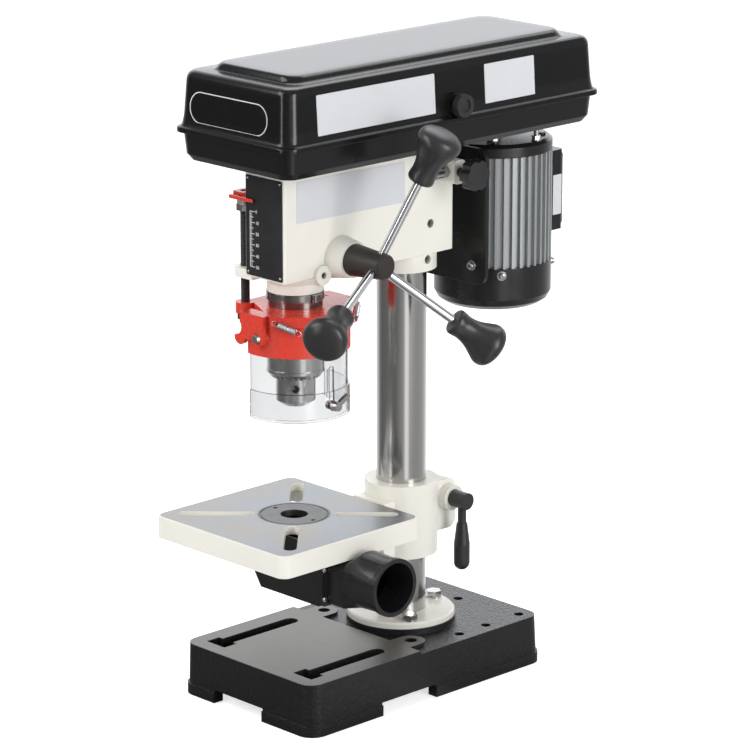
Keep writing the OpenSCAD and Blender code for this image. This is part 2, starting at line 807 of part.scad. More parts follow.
module quill_bearings() {
    color(steel) translate([0, sy, 0]) {
        translate([0, 0, quill_z]) bearing(16, spindle_r + run, bearing_h);
        translate([0, 0, quill_top - bearing_h]) bearing(14, spindle_r + run, bearing_h);
    }
}

module quill_collar() {
    color(black) translate([0, sy, collar_z]) difference() {
        union() {
            cylinder(r = nose_r - 1, h = 13);
            translate([0, 0, 6]) cylinder(r = nose_r + 0.5, h = 7);
            for (s = [-1, 1])
                translate([s * (nose_r - 1), 0, 6.5]) linear_extrude(6.5) rounded(-6, 6, -5, 5, 3);
        }
        translate([0, 0, -1]) cylinder(r = quill_r, h = 20);
    }
}

module guard_arm(side) {
    translate([0, side > 0 ? -arm_front + 4 : arm_front, 0]) rotate([90, 0, 0])
        linear_extrude(4) difference() {
        union() {
            translate([pivot_x, pivot_z]) circle(r = 8);
            translate([-14, pivot_z]) square([pivot_x + 22, plate_z + 10 - pivot_z]);
            translate([-14, pivot_z - 3]) square([14, 8]);
            translate([-14, pivot_z - 2]) circle(r = 7);
        }
        translate([-20, plate_z - 4]) circle(r = 8);
        translate([pivot_x, pivot_z]) circle(r = 2.52);
    }
}

module guard_plate() {
    color(red) translate([0, sy, 0]) difference() {
        union() {
            translate([0, 0, plate_z]) linear_extrude(10) {
                polygon([[-40, -18], [21.5, -50], [48, -22], [48, 22], [21.5, 50], [-40, 18]]);
                translate([rod_x, rod_y - sy]) circle(r = 9);
                for (s = [-1, 1])
                    translate([-14, s > 0 ? -arm_front + 0.01 : arm_front - 14]) square([30, 14]);
            }
            guard_arm(1);
            guard_arm(-1);
            for (s = [-1, 1])
                translate([21.8, s * -45.4, plate_z + 6]) rotate([90, 0, s > 0 ? 46.6 : 133.4])
                    cylinder(r = 1.2, h = 9.4);
        }
        translate([0, 0, plate_z - 1]) cylinder(r = quill_r, h = 20);
        translate([rod_x, rod_y - sy, plate_z - 1]) cylinder(d = depth_rod_d, h = 20);
    }
}

module guard_pivots() {
    color(steel) translate([0, sy, 0])
        for (s = [0, 1])
            mirror([0, s, 0]) translate([pivot_x, -arm_front, pivot_z]) along_y() {
                cylinder(r = 2.5, h = 10);
                translate([0, 0, -3]) cylinder(r1 = 3.6, r2 = 4.6, h = 3);
            }
}

module depth_rod() {
    z0 = plate_z - 7;
    color(black) translate([rod_x, rod_y, 0]) union() {
        translate([0, 0, z0]) cylinder(d = depth_rod_d, h = head_z + 70 - z0);
        translate([0, 0, plate_z - 6]) linear_extrude(6) hexagon(depth_nut_af);
    }
}

module depth_nuts() {
    color(steel) translate([rod_x, rod_y, nut_z])
        for (k = [0, 1])
            translate([0, 0, k * (nut_h + 0.01)]) linear_extrude(nut_h) difference() {
                rotate(15 * k) hexagon(depth_nut_af);
                circle(d = depth_rod_d + 2 * run);
            }
}

pointer_z = nut_z + 2 * nut_h + 0.5;
module depth_pointer() {
    color(red) difference() {
        union() {
            translate([rod_x, rod_y, pointer_z]) linear_extrude(5) rounded(-8, 8, -8, 8, 3);
            translate([rod_x, rod_y - 8, pointer_z]) linear_extrude(3)
                polygon([[-4, 1], [-4, -7], [20, -7], [26, -5.6], [20, -4.2], [5, -4.2], [5, 1]]);
        }
        translate([rod_x, rod_y, pointer_z - 1]) cylinder(d = depth_rod_d, h = 10);
    }
}

// Guard springs, each one wire with a loop at both ends
loop_r = 2.1;
spring_a = [27.3, -50.6, plate_z + 6];
spring_b = [40.6, -33.8, plate_z - 4];
function spring_path(a, b, out) = let(
        u = unit(b - a),
        n = carry(out, u),
        v = cross(u, n),
        rc = spring_coil_d / 2,
        lead = 2.2,
        body = norm(b - a) - 2 * loop_r - 2 * lead,
        steps = spring_coils * 8)
    concat(
        [for (i = [0 : 9]) let(f = -100 + 280 * i / 9) a + loop_r * (-cos(f) * u + sin(f) * v)],
        [for (i = [1 : 3]) let(q = i / 4) a + (loop_r + lead * q) * u + rc * q * (cos(-60 * (1 - q)) * v
            + sin(-60 * (1 - q)) * n)],
        [for (i = [0 : steps]) let(t = i * 45) a + (loop_r + lead + body * i / steps) * u
            + rc * (cos(t) * v + sin(t) * n)],
        [for (i = [3 : -1 : 1]) let(q = i / 4) b - (loop_r + lead * q) * u + rc * q * (cos(60 * (1 - q)) * v
            + sin(60 * (1 - q)) * n)],
        [for (i = [0 : 9]) let(f = 280 * i / 9) b + loop_r * (-cos(f) * u - sin(f) * v)]);
function least_gap(path) = min([for (i = [0 : len(path) - 7], j = [i + 6 : len(path) - 1])
    norm(path[i] - path[j])]) - spring_wire;
front_spring_path = spring_path(spring_a, spring_b, [0.725, -0.687, 0]);
echo("guard spring least gap to itself", least_gap(front_spring_path));

module guard_spring() {
    swept_tube(front_spring_path, spring_wire / 2, [0, 0, 1]);
}

module guard_spring_front() {
    color(steel) translate([0, sy, 0]) guard_spring();
}

module guard_spring_rear() {
    color(steel) translate([0, sy, 0]) mirror([0, 1, 0]) guard_spring();
}

// Spindle and chuck
module spindle() {
    color(steel) translate([0, sy, 0]) union() {
        translate([0, 0, chuck_top]) cylinder(r = spindle_r, h = quill_top + 2 - chuck_top);
        translate([0, 0, chuck_top]) cylinder(r = 12, h = quill_z - chuck_top - gap);
        translate([0, 0, chuck_top - 14]) cylinder(r1 = 6.2, r2 = 7, h = 14.01);
        translate([0, 0, quill_top + 1]) linear_extrude(spindle_top - quill_top - 1) spline(0);
    }
}

module jaw_line(k) {
    rotate(120 * k + 46) translate([jaw_pin_r, 0, jaw_z]) rotate([0, jaw_lean, 0]) children();
}

module chuck_body() {
    nose = chuck_nose_d / 2;
    color(steel) translate([0, sy, 0]) difference() {
        union() {
            translate([0, 0, chuck_z]) cylinder(r1 = nose - 5, r2 = nose, h = 4);
            translate([0, 0, chuck_z + 4]) cylinder(r = nose, h = sleeve_z1 - chuck_z - 3.5);
            translate([0, 0, sleeve_z1 + gap])
                cylinder(r = chuck_hub_r, h = chuck_top - sleeve_z1 - gap - 2);
            translate([0, 0, chuck_top - 2]) cylinder(r1 = chuck_hub_r, r2 = chuck_hub_r - 2, h = 2);
        }
        translate([0, 0, chuck_z - 1]) cylinder(r = 6.8, h = 30);
        for (k = [0 : 2])
            jaw_line(k) translate([0, 0, -8]) cylinder(d = jaw_d + 2 * run, h = jaw_len + 14);
        translate([0, 0, chuck_top - 14]) cylinder(r1 = 6.2, r2 = 7, h = 14.02);
        for (k = [0 : 2])
            rotate(120 * k - 44) translate([0, 0, sleeve_z0 - 9]) along_x() cylinder(r = 3.6, h = 40);
    }
}

module chuck_sleeve() {
    rs = chuck_d / 2;
    teeth = 30;
    color(steel) translate([0, sy, 0]) difference() {
        union() {
            translate([0, 0, sleeve_z0 + 8]) cylinder(r = rs - 0.5, h = sleeve_z1 - sleeve_z0 - 11);
            translate([0, 0, sleeve_z1 - 3]) cylinder(r1 = rs - 0.5, r2 = rs - 3, h = 3);
            translate([0, 0, sleeve_z0 + 5]) cylinder(r = rs, h = 3);
            difference() {
                translate([0, 0, sleeve_z0]) cylinder(r1 = rs - 4, r2 = rs, h = 5.01);
                for (k = [0 : teeth - 1])
                    rotate(360 * k / teeth) translate([rs - 9, -1.25, sleeve_z0 - 1]) cube([12, 2.5, 4.5]);
            }
        }
        translate([0, 0, sleeve_z0 - 1]) cylinder(r = chuck_nose_d / 2 + run, h = 60);
    }
}

module chuck_jaw(k) {
    color(steel) translate([0, sy, 0]) intersection() {
        jaw_line(k) cylinder(d = jaw_d, h = jaw_len);
        rotate(120 * k + 46) translate([1.2, 0, chuck_z - 1]) linear_extrude(80)
            polygon([[0.4, -0.7], [30, -51.9], [30, 51.9], [0.4, 0.7]]);
    }
}

// Guard skirt and shields, turned so that 0 is the front and 90 the right
module arc_wall(r, t, z, h, from, sweep) {
    translate([0, sy, z]) rotate(from - 90) rotate_extrude(angle = sweep, $fn = 96) translate([r, 0])
        square([t, h]);
}

module guard_skirt() {
    color(red) difference() {
        union() {
            arc_wall(skirt_r, skirt_t, skirt_z, skirt_h, skirt_from, skirt_sweep + 20);
            for (s = [0, 1])
                translate([0, sy, 0]) mirror([0, s, 0]) {
                    translate([pivot_x, -ear_front + 0.3, pivot_z]) along_y() cylinder(r = 7.5, h = 5);
                    translate([36.8, -30.6, spring_b[2]]) rotate([90, 0, 50.2]) cylinder(r = 1.2, h = 7.6);
                }
        }
        translate([-60, sy - 60, pivot_z + 4]) cube([60 + pivot_x - 6.5, 120, 20]);
        translate([-60, sy - 60, pivot_z + 7.6]) cube([60 + pivot_x, 120, 20]);
        for (s = [0, 1])
            translate([0, sy, 0]) mirror([0, s, 0])
                translate([pivot_x, -70, pivot_z]) along_y() cylinder(r = 2.5 + run, h = 30);
        translate([0, sy, skirt_z - 1]) cylinder(r = upper_r + shield_t, h = 13.3);
    }
}

module shield_upper() {
    z0 = shield_z + 2;
    color(clear) difference() {
        arc_wall(upper_r, shield_t, z0, skirt_z + 12 - z0, skirt_from, skirt_sweep + 20);
        translate([30, sy, wing_z]) rotate([90, 0, 90]) linear_extrude(40)
            slot(5, shield_slide + 2);
    }
}

module shield_lower() {
    color(clear) difference() {
        arc_wall(lower_r, shield_t, shield_z, shield_h, skirt_from + 2, skirt_sweep + 16);
        translate([30, sy, wing_z]) along_x() cylinder(r = 2.2 + run, h = 40);
    }
}

module wing_bolt() {
    x0 = lower_r + shield_t + gap;
    color(black) translate([0, sy, wing_z]) rotate([30, 0, 0]) union() {
        translate([upper_r - 1.5, 0, 0]) along_x() cylinder(r = 2.2, h = 12);
        translate([upper_r - 3.3, 0, 0]) along_x() cylinder(r = 4.2, h = 3);
        translate([x0, 0, 0]) along_x() cylinder(r1 = 5, r2 = 4, h = 7);
        translate([x0 + 2, 0, 0]) along_x() linear_extrude(4) rounded(-2, 2, -2, 17, 1.9);
    }
}

// Feed hub with three splayed levers
module lever_line(k) {
    translate([lever_x, pinion_y, pinion_z])
        rotate([-lever_turn - 120 * k, 0, 0]) rotate([0, lever_splay, 0]) children();
}

lever_len = lever_reach / cos(lever_splay);
module pinion_shaft() {
    color(steel) translate([0, pinion_y, pinion_z]) union() {
        translate([-pinion_half, 0, 0]) along_x() rotate(270) linear_extrude(2 * pinion_half)
            polygon(gear_points(rack_module, pinion_teeth));
        translate([-head_rear_half - 12, 0, 0]) along_x() cylinder(r = 4, h = 20);
        translate([-head_rear_half - 12, 0, 0]) along_x() cylinder(r = 8.5, h = head_rear_half + 12);
        along_x() cylinder(r = feed_shaft_r, h = lever_x - 6);
    }
}

module feed_hub() {
    color(dark) difference() {
        translate([hub_x, pinion_y, pinion_z]) along_x() union() {
            cylinder(r1 = hub_r, r2 = hub_r - 3, h = hub_end - hub_x - 2);
            translate([0, 0, hub_end - hub_x - 2]) cylinder(r1 = hub_r - 3, r2 = hub_r - 5, h = 2);
        }
        translate([hub_x - 1, pinion_y, pinion_z]) along_x()
            cylinder(r = feed_shaft_r, h = lever_x - 5 - hub_x);
        for (k = [0 : 2])
            lever_line(k) translate([0, 0, 6]) cylinder(d = lever_d, h = 30);
    }
}

module feed_levers() {
    color(steel)
        for (k = [0 : 2])
            lever_line(k) translate([0, 0, 6]) cylinder(d = lever_d, h = lever_len - knob_len + 14);
}

module feed_knobs() {
    profile = [[0, 0], [0.48, 0], [0.55, 0.04], [0.55, 0.11], [0.48, 0.17], [0.50, 0.29], [0.58, 0.43],
        [0.73, 0.56], [0.90, 0.66], [0.98, 0.72], [1, 0.77], [0.98, 0.83], [0.88, 0.90], [0.66, 0.96],
        [0.36, 0.99], [0, 1]];
    color(black)
        for (k = [0 : 2])
            lever_line(k) translate([0, 0, lever_len - knob_len]) difference() {
                rotate_extrude() polygon([for (q = profile) [q[0] * knob_d / 2, q[1] * knob_len]]);
                translate([0, 0, -1]) cylinder(d = lever_d, h = 22);
            }
}

// Motor group
module motor_plate() {
    half = motor_plate_w / 2;
    color(black) difference() {
        translate([0, plate_y + plate_t, 0]) rotate([90, 0, 0])
            linear_extrude(plate_t) rounded(-half, half, case_z - 10, head_top - 13.5, 12);
        for (s = [-1, 1])
            translate([s * slide_rod_x, plate_y - 1, slide_z]) along_y()
                cylinder(d = slide_rod_d - 2, h = 10);
    }
}

module slide_rods() {
    color(steel)
        for (s = [-1, 1])
            translate([s * slide_rod_x, 0, slide_z]) {
                translate([0, -15, 0]) along_y() cylinder(d = slide_rod_d, h = plate_y + 15);
                translate([0, -17, 0]) along_y() cylinder(d1 = slide_rod_d - 4, d2 = slide_rod_d, h = 2);
                translate([0, plate_y, 0]) along_y() cylinder(d = slide_rod_d - 2, h = plate_t);
            }
}

module motor_round(r, z, h) {
    translate([0, motor_y, z]) cylinder(r = r, h = h);
}

module motor_case() {
    color(steel) difference() {
        union() {
            translate([0, motor_y, case_z]) linear_extrude(case_h) {
                circle(r = motor_r - 4);
                for (k = [0 : motor_fins - 1])
                    rotate(360 * k / motor_fins) translate([0, -1.3]) square([motor_r, 2.6]);
            }
            translate([-34, plate_y + plate_t, case_z + 6]) cube([68, 26, case_h - 12]);
        }
        motor_round(31, case_z - 1, case_h + 2);
        motor_round(46, case_z - 1, 16);
        motor_round(46, case_z + case_h - 15, 16);
    }
}

module motor_bottom_cap() {
    color(black) difference() {
        union() {
            motor_round(motor_r, case_z - cap_h + 10, cap_h - 10);
            translate([0, motor_y, case_z - cap_h + 4]) cylinder(r1 = motor_r - 3, r2 = motor_r, h = 6);
            translate([0, motor_y, case_z - cap_h]) cylinder(r1 = motor_r - 9, r2 = motor_r - 3, h = 4.01);
        }
        motor_round(46, case_z - cap_h + 4, cap_h);
        motor_round(shaft_r + 3, case_z - cap_h + 2, cap_h);
        for (k = [0 : 11])
            translate([0, motor_y, case_z - cap_h - 1]) rotate(30 * k) translate([26, -2]) cube([14, 4, 8]);
    }
}

module motor_top_cap() {
    z = case_z + case_h;
    color(black) difference() {
        union() {
            motor_round(motor_r, z, top_h - 3);
            translate([0, motor_y, z + top_h - 3]) cylinder(r1 = motor_r, r2 = motor_r - 4, h = 3);
            for (a = [45 : 90 : 315])
                translate([0, motor_y, z + top_h - 1]) rotate(a) translate([44, 0, 0])
                    cylinder(r = 4, h = 3);
        }
        motor_round(46, z - 1, 6);
        motor_round(shaft_r + run, z - 1, 30);
    }
}

module junction_box() {
    z = head_z - 7;
    color(black) difference() {
        translate([0, 0, z]) linear_extrude(76) rounded(-26, 26, motor_y + 40, motor_y + 68, 5);
        motor_round(motor_r, z - 1, 90);
    }
}

module motor_shaft() {
    color(steel) translate([0, motor_y, 0]) union() {
        translate([0, 0, case_z - cap_h + 6])
            cylinder(r = shaft_r, h = pulley_z + 5 * step_h + 3 - case_z + cap_h - 6);
        translate([0, 0, case_z + 14]) cylinder(r = 30.4, h = case_h - 28);
    }
}

module slide_lock() {
    translate([slide_rod_x, slide_y, slide_z]) along_x() union() {
        translate([0, 0, slide_rod_d / 2 + gap]) cylinder(r = 4, h = lug_x - slide_rod_x + 5);
        translate([0, 0, lug_x - slide_rod_x + 10]) {
            cylinder(r = 7, h = 4);
            difference() {
                translate([0, 0, 3]) cylinder(r = 14, h = 11);
                for (a = [0 : 60 : 300])
                    rotate(a) translate([16.5, 0, 2]) cylinder(r = 4.5, h = 13);
            }
        }
    }
}

module slide_lock_right() {
    color(black) slide_lock();
}

module slide_lock_left() {
    color(black) mirror([1, 0, 0]) slide_lock();
}

// Table group
module table_bracket() {
    color(cream) difference() {
        union() {
            translate([0, 0, hopper_z]) cylinder(r = collar_r, h = 70);
            translate([0, tilt_y, tilt_z]) along_y()
                cylinder(r1 = tilt_hub_r + 2, r2 = tilt_hub_r + 6, h = -tilt_y - 8);
            translate([-20, tilt_y + 4, tilt_z - 24]) cube([40, 36, 54]);
            for (s = [-1, 1])
                translate([s > 0 ? 1.5 : -18.5, 0, 0]) along_x() linear_extrude(17)
                    rounded(-clamp_z - 16, -clamp_z + 32, 15, clamp_y + 12, 9);
            translate([10, clamp_y, clamp_z]) along_x() cylinder(r = 12, h = 18);
        }
        translate([0, 0, hopper_z - 1]) cylinder(r = column_r + run, h = 90);
        translate([-1.5, 5, hopper_z - 1]) cube([3, 60, 90]);
        translate([-30, clamp_y, clamp_z]) along_x() cylinder(r = 5 + run, h = 80);
        translate([0, tilt_y - 1, tilt_z]) along_y() cylinder(r = tilt_bolt_r, h = 20);
    }
}

module table_clamp() {
    color(black) union() {
        translate([-20, clamp_y, clamp_z]) along_x() cylinder(r = 5, h = clamp_x + 20);
        translate([-18.5 - gap - 6, clamp_y, clamp_z]) along_x() linear_extrude(6) hexagon(16);
        translate([28 + gap, clamp_y, clamp_z]) along_x() cylinder(r = 8, h = 18);
        translate([clamp_x, clamp_y, clamp_z]) rotate([180, 0, 0]) {
            cylinder(r = 4, h = 28);
            translate([0, 0, 22]) cylinder(r1 = 5, r2 = 7.5, h = 20);
            translate([0, 0, 42]) cylinder(r = 7.5, h = 18);
            translate([0, 0, 60]) sphere(7.5);
        }
    }
}

module tilt_bolt() {
    color(steel) translate([0, tilt_hub_y, tilt_z]) along_y() union() {
        cylinder(r = tilt_bolt_r, h = tilt_y - tilt_hub_y + 18);
        translate([0, 0, -10]) linear_extrude(8.5) hexagon(19);
        translate([0, 0, -1.5 - gap]) cylinder(r = 12, h = 1.5);
        translate([0, 0, -2]) cylinder(r = tilt_bolt_r, h = 2);
    }
}

module table_slots(h) {
    translate([0, sy - 3, rim_bottom - 1]) linear_extrude(h)
        for (s = [-1, 1]) {
            rotate(s * 135) translate([0, 41]) slot(table_slot_w, 58);
            rotate(s * 45) translate([0, 41]) slot(table_slot_w, 47);
        }
}

module work_table() {
    half = table_w / 2;
    edge = [-half, half, table_front, table_rear, 9];
    color(cream) difference() {
        union() {
            translate([0, 0, rim_bottom]) linear_extrude(table_edge - 1.2)
                rounded(-half, half, table_front, table_rear, 9);
            drafted(edge, inset_box(edge, 1.2, 9), table_z - 1.2, table_z);
            translate([0, tilt_hub_y, tilt_z]) along_y()
                cylinder(r = tilt_hub_r, h = tilt_y - gap - tilt_hub_y);
            translate([-tilt_hub_r, tilt_hub_y, tilt_z])
                cube([2 * tilt_hub_r, tilt_y - gap - tilt_hub_y - 14, 30]);
            translate([-6, tilt_y - 15, tilt_z + 10]) cube([12, 12, rim_bottom - tilt_z - 5]);
        }
        difference() {
            translate([0, 0, rim_bottom - 1]) linear_extrude(top_under - rim_bottom + 1)
                rounded(-half + 7, half - 7, table_front + 7, table_rear - 7, 6);
            translate([-tilt_hub_r, tilt_hub_y, tilt_z]) cube([2 * tilt_hub_r, 40, 40]);
            for (s = [-1, 1])
                translate([s * (half - 26) - 2.5, table_front, rim_bottom]) cube([5, table_l, 30]);
        }
        table_slots(40);
        translate([0, sy - 3, table_z - seat_depth]) cylinder(r = insert_r + run, h = 20);
        translate([0, sy - 3, rim_bottom - 1]) cylinder(r = insert_r - 5, h = 60);
        translate([0, tilt_hub_y - 20, tilt_z]) along_y() cylinder(r = tilt_bolt_r + run, h = 60);
        translate([0, tilt_hub_y - 40, tilt_z]) along_y() cylinder(r = 15, h = 40);
        translate([half - 31, sy - 3 - hopper_half - 3, rim_bottom - 1])
            cube([8, 2 * hopper_half + 6, top_under - rim_bottom + 1]);
        translate([-half + 20, sy - 3 - hopper_half - 3, rim_bottom - 1])
            cube([half - 20 - 31 + half, 2 * hopper_half + 6, top_under - rim_bottom + 1]);
    }
}

module table_insert() {
    color(steel) translate([0, sy - 3, table_z - seat_depth]) difference() {
        cylinder(r = insert_r, h = seat_depth);
        translate([0, 0, -1]) cylinder(d = insert_hole_d, h = seat_depth + 2);
        translate([0, 0, seat_depth - 0.8]) ring(insert_r - 2, insert_r - 3, 2);
        for (s = [-1, 1])
            translate([s * (insert_r - 8), 0, -1]) cylinder(r = 2, h = seat_depth + 2);
    }
}

module hopper_space(inset) {
    rotate([90, 0, 0]) linear_extrude(2 * (hopper_half - inset))
        polygon([[hopper_x0 + inset, top_under + inset], [hopper_x0 + inset, rim_bottom - 4],
            [hopper_x0 + 26 + inset / 2, hopper_z + inset], [hopper_x1 - inset, hopper_z + inset],
            [hopper_x1 - inset, top_under + inset]]);
}

module dust_hopper() {
    y = sy - 3;
    color(black) difference() {
        translate([0, y + hopper_half, 0]) hopper_space(0);
        translate([0, y + hopper_half - port_wall, 0]) hopper_space(port_wall);
        translate([hopper_x1 - 10, y, 0]) along_x() linear_extrude(20)
            rounded(-rim_bottom + 5, -hopper_z - 5, -hopper_half + 8, hopper_half - 8, 5);
    }
}

module dust_port() {
    y = sy - 3;
    x1 = table_w / 2 + gap + 1;
    z_top = rim_bottom - 2;
    color(black) difference() {
        union() {
            translate([hopper_x1, y, 0]) along_x() linear_extrude(4)
                rounded(-z_top, -hopper_z, -hopper_half, hopper_half, 4);
            translate([hopper_x1, y, 0]) along_x() linear_extrude(x1 - hopper_x1)
                rounded(-z_top, -hopper_z, -port_r, port_r, 8);
            hull() {
                translate([x1 - 1, y, 0]) along_x() linear_extrude(1)
                    rounded(-z_top + 0.2, -hopper_z - 0.2, -port_r + 0.2, port_r - 0.2, 8, $fn = 32);
                translate([port_x, y, port_z]) along_x() cylinder(r = port_r - 0.3, h = 1, $fn = 48);
            }
            translate([port_x, y, port_z]) along_x() cylinder(r1 = port_r, r2 = port_r - 1.2, h = port_len);
            translate([port_x + port_len - 5, y, port_z]) along_x() cylinder(r = port_r + 0.5, h = 5);
        }
        translate([hopper_x1 - 1, y, 0]) along_x() linear_extrude(x1 - hopper_x1 + 1.01)
            rounded(-z_top + 3, -hopper_z - 3, -port_r + 3, port_r - 3, 5);
        hull() {
            translate([x1 - 0.5, y, 0]) along_x() linear_extrude(0.5)
                rounded(-z_top + 2.8, -hopper_z - 2.8, -port_r + 2.8, port_r - 2.8, 5, $fn = 32);
            translate([port_x, y, port_z]) along_x()
                cylinder(r = port_r - 0.9 - port_wall, h = 0.5, $fn = 48);
        }
        translate([port_x - 0.5, y, port_z]) along_x()
            cylinder(r = port_r - 1.2 - port_wall, h = port_len + 5);
    }
}

base();
column_flange();
flange_bolts();
column();
head_casting();
scale_plate();
spring_housing();
return_spring();
belt_pan();
lid_hinge_pins();
switch_box();
v_belt();
pulley_bearings();
quill();
quill_bearings();
quill_collar();
guard_plate();
guard_pivots();
depth_rod();
depth_pointer();
guard_spring_front();
guard_spring_rear();
depth_nuts();
spindle();
chuck_body();
chuck_sleeve();
chuck_jaw(0);  // chuck_jaw_1
chuck_jaw(1);  // chuck_jaw_2
chuck_jaw(2);  // chuck_jaw_3
pinion_shaft();
feed_hub();
feed_levers();
feed_knobs();
drive_sleeve();
spindle_pulley();
oscillator_gear();
motor_plate();
slide_rods();
motor_case();
motor_bottom_cap();
motor_top_cap();
junction_box();
motor_shaft();
motor_pulley();
belt_lid();
lid_knob();
slide_lock_right();
slide_lock_left();
table_bracket();
tilt_bolt();
table_clamp();
work_table();
table_insert();
dust_hopper();
dust_port();
guard_skirt();
shield_upper();
shield_lower();
wing_bolt();
switch_rocker();
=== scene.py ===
"""Looks of an oscillating bench drill press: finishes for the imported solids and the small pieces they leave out."""
import json

import bpy
import numpy as np
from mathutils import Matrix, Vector


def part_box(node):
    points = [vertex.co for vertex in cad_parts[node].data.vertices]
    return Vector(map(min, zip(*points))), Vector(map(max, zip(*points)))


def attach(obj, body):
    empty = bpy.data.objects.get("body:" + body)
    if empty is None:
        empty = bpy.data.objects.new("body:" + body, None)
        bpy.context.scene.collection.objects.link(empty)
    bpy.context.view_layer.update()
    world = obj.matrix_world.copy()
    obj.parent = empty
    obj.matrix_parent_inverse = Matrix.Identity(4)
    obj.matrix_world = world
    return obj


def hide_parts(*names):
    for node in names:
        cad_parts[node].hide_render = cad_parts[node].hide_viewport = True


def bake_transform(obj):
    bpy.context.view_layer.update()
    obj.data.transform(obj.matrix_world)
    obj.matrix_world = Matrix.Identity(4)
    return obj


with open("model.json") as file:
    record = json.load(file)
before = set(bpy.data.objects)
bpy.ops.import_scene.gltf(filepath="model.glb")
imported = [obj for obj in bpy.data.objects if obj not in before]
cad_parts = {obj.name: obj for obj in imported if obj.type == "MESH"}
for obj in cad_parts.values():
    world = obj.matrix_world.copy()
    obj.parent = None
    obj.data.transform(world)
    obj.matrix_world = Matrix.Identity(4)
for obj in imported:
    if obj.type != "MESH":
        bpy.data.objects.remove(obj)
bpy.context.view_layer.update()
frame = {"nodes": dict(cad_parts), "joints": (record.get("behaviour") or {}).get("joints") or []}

bl_info = {
    "name": "Bench drill press looks",
    "version": (1, 0, 0),
    "blender": (4, 5, 0),
    "location": "View3D > Sidebar > Drill press",
    "description": "Dresses the packed bench drill press with finishes, plates, scale marks and fasteners",
    "category": "Object",
}

MM = 0.001
FULL_TURN = 2.0 * np.pi
X, Y, Z = np.eye(3)
PIVOT = {joint["name"]: np.array(joint["pos_m"]) / MM for joint in frame["joints"] if "pos_m" in joint}


def solid_box(node):
    """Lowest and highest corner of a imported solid, in millimetres."""
    return np.array(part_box(node)) / MM


def colour_setting(name, description, default):
    """A colour in linear light."""
    return bpy.props.FloatVectorProperty(
        name=name, description=description, subtype="COLOR", size=3, min=0.0, max=1.0, default=default)


def length_setting(name, description, low, high, default):
    """A size in metres, kept between low and high."""
    return bpy.props.FloatProperty(
        name=name, description=description, unit="LENGTH", min=low, max=high, default=default)


def power_setting(name, description, default):
    """The power of a lamp in watts."""
    return bpy.props.FloatProperty(
        name=name, description=description, unit="POWER", min=0.0, max=400.0, default=default)


def point_setting(name, description, default):
    """A place in metres."""
    return bpy.props.FloatVectorProperty(
        name=name, description=description, subtype="XYZ", unit="LENGTH", size=3, default=default)


class DrillPressColours(bpy.types.PropertyGroup):
    """Colours of the paints, metals and plastics, as linear light."""
    ivory: colour_setting("Ivory paint", "Paint of the head, the table and its bracket", (0.82, 0.805, 0.735))
    cover: colour_setting("Belt cover", "Gloss black of the belt cover", (0.006, 0.006, 0.0065))
    casting: colour_setting("Base casting", "Textured black of the cast base", (0.011, 0.011, 0.012))
    ground: colour_setting("Ground iron", "Bare ground iron of the table top and the base pad", (0.40, 0.40, 0.39))
    guard: colour_setting("Guard red", "Gloss red of the guard", (0.66, 0.042, 0.022))
    steel: colour_setting("Steel", "Bare turned steel", (0.56, 0.55, 0.53))
    chrome: colour_setting("Chrome", "Plated levers", (0.80, 0.80, 0.81))
    alloy: colour_setting("Motor alloy", "Cast alloy of the motor and the pulleys", (0.402, 0.418, 0.422))
    plastic: colour_setting("Black plastic", "Moulded knobs, caps and boxes", (0.016, 0.016, 0.017))
    hub: colour_setting("Feed hub", "Dark finish of the feed hub", (0.026, 0.021, 0.018))
    film: colour_setting("Bare plates", "Off-white film of the bare plates", (0.64, 0.655, 0.68))
    clear: colour_setting("Clear shield", "Tint of the clear shield", (0.965, 0.972, 0.978))


class DrillPressSizes(bpy.types.PropertyGroup):
    """Sizes of the added pieces."""
    lid_shoulder: length_setting("Lid shoulder", "Rounding of the lid's upper edge", 0.002, 0.012, 0.0082)
    knob_radius: length_setting("Knob radius", "Radius of the wide end of a lever knob", 0.015, 0.021, 0.020)
    plate_thickness: length_setting("Plate thickness", "Thickness of a bare plate", 0.0002, 0.001, 0.0004)
    tick_long: length_setting("Long tick", "Length of the tick at each ten of the depth scale", 0.003, 0.010, 0.0060)
    number_height: length_setting("Scale number", "Height of the depth scale's numbers", 0.002, 0.006, 0.0042)
    screw_radius: length_setting("Screw head", "Radius of a small screw head", 0.0015, 0.005, 0.0030)


class DrillPressStage(bpy.types.PropertyGroup):
    """Light, floor and camera."""
    key_power: power_setting("Key lamp", "Power of the large lamp over the front left", 32.0)
    fill_power: power_setting("Fill lamp", "Power of the lamp on the right", 38.0)
    strip_power: power_setting("Strip lamp", "Power of the narrow lamp in front", 8.0)
    top_power: power_setting("Top lamp", "Power of the lamp above and behind", 26.0)
    sky: bpy.props.FloatProperty(
        name="Room light", description="Strength of the even light of the room", min=0.0, max=2.0, default=0.55)
    lens: bpy.props.FloatProperty(
        name="Lens", description="Focal length on a 36 mm sensor, in millimetres", min=20.0, max=400.0, default=174.6)
    eye: point_setting("Camera place", "Where the camera stands", (2.2939, -2.2532, 1.1807))
    aim: point_setting("Camera aim", "The point in the middle of the picture", (0.01798, -0.05104, 0.29409))


